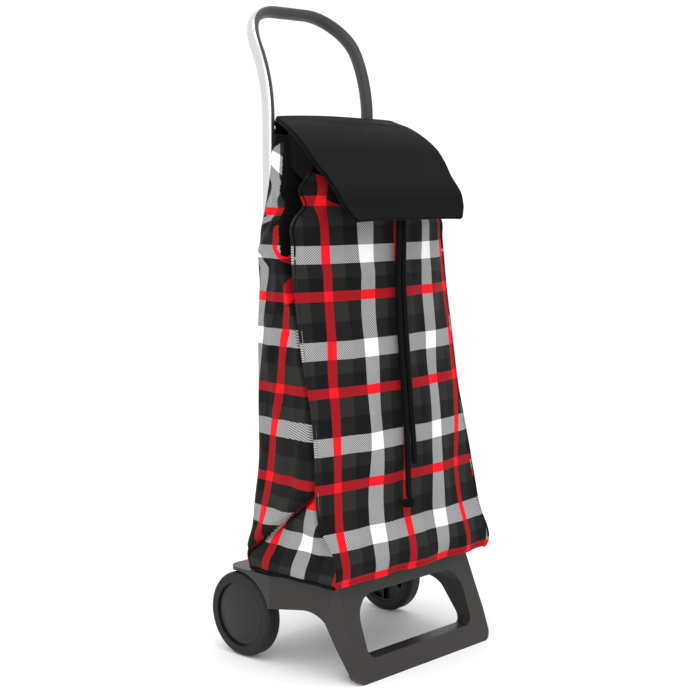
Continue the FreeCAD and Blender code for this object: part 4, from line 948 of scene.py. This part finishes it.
def flap_normals(s, w):
    """Upward normals of the flap, from the cross product of two short steps along it."""
    step = 1e-3
    one = flap_surface(s + step, w) - flap_surface(s - step, w)
    two = flap_surface(s, w + step) - flap_surface(s, w - step)
    normal = np.cross(two, one)
    normal /= np.linalg.norm(normal, axis=-1, keepdims=True)
    return normal * np.sign(normal[:, 2:])


edge_s, edge_w = flap_outline(0.0)
edge_line, _ = resample(flap_surface(edge_s, edge_w) - flap_normals(edge_s, edge_w) * FLAP_THICKNESS * 0.5, 0.004)
binding = tube_mesh("flap_binding", edge_line, BINDING_RADIUS, 10)
dress(binding, BLACK_CLOTH, "black_fabric", "flap")
sewn_s, sewn_w = flap_outline(STITCH_INSET)
flap_stitches = thread_row("flap_stitches", flap_surface(sewn_s, sewn_w), flap_normals(sewn_s, sewn_w))
dress(flap_stitches, CORD_CLOTH, "black_cord", "flap")

TAPE_BACK, TAPE_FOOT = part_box("hinge_tape")[1].y - 0.0005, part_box("hinge_tape")[0].z + 0.001
TAPE_TOP, TAPE_FRONT = 0.8272, FLAP_BACK[0] - 0.0060
TAPE_HALF, TAPE_BEND = 0.1175, 0.0045
bend_angle = np.linspace(0, math.pi / 2, 9)
tape_y = np.concatenate([np.full(12, TAPE_BACK), TAPE_BACK - TAPE_BEND * (1 - np.cos(bend_angle)),
                         np.linspace(TAPE_BACK - TAPE_BEND, TAPE_FRONT, 8)[1:]])
tape_z = np.concatenate([np.linspace(TAPE_FOOT, TAPE_TOP - TAPE_BEND, 13)[:-1],
                         TAPE_TOP - TAPE_BEND + TAPE_BEND * np.sin(bend_angle),
                         np.linspace(TAPE_TOP, np.interp(-TAPE_FRONT, -FLAP_BACK, FLAP_TOP) + 0.0008, 8)[1:]])
tape_x = np.linspace(-TAPE_HALF, TAPE_HALF, 81)
ripple = 0.0006 * np.sin(70 * tape_x)[None] * np.sin(np.linspace(0, math.pi, len(tape_y)))[:, None]
tape_points = np.stack(np.broadcast_arrays(tape_x[None], tape_y[:, None] + ripple, tape_z[:, None] + ripple), axis=-1)
tape = new_mesh("hinge_strip", tape_points, grid_faces(*tape_points.shape[:2]))
settle(thicken(tape, 0.0012), 60)
face_outwards(tape)
dress(tape, BLACK_CLOTH, "black_fabric", None, "hinge_tape")
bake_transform(tape)
print("binding, stitches and hinge strip", len(tape.data.polygons), "faces")

# %% [markdown]
# The floor is a plain pale sheet and the room a white one. A wide light overhead
# and a weaker one from the front left give soft shadows under the trolley and a
# long highlight on the handle.

# %% Floor and light
floor = new_mesh("floor", np.array([(-6, -6, 0), (6, -6, 0), (6, 6, 0), (-6, 6, 0)], float), [[0, 1, 2, 3]])
floor_material, _, _ = new_material("pale_floor", (0.95, 0.95, 0.95), 0.95, Specular_IOR_Level=0.0)
floor.data.materials.append(floor_material)

world = bpy.data.worlds.new("studio")
bpy.context.scene.world = world
world.use_nodes = True
world.node_tree.nodes["Background"].inputs["Color"].default_value = (1.0, 1.0, 1.0, 1)
world.node_tree.nodes["Background"].inputs["Strength"].default_value = 1.08


def soft_light(name, place, target, size, power):
    """A square light that faces a point."""
    data = bpy.data.lights.new(name, "AREA")
    data.shape, data.size, data.energy = "SQUARE", size, power
    light = bpy.data.objects.new(name, data)
    bpy.context.scene.collection.objects.link(light)
    light.location = place
    light.rotation_euler = (Vector(target) - Vector(place)).to_track_quat("-Z", "Y").to_euler()
    return light


soft_light("overhead", (-0.3, -0.4, 2.9), (0, 0, 0.4), 2.2, 30)
soft_light("front_left", (-2.4, -2.0, 1.6), (0, 0, 0.5), 1.6, 16)
bpy.context.scene.view_settings.view_transform = "Standard"
print("lights", 2)
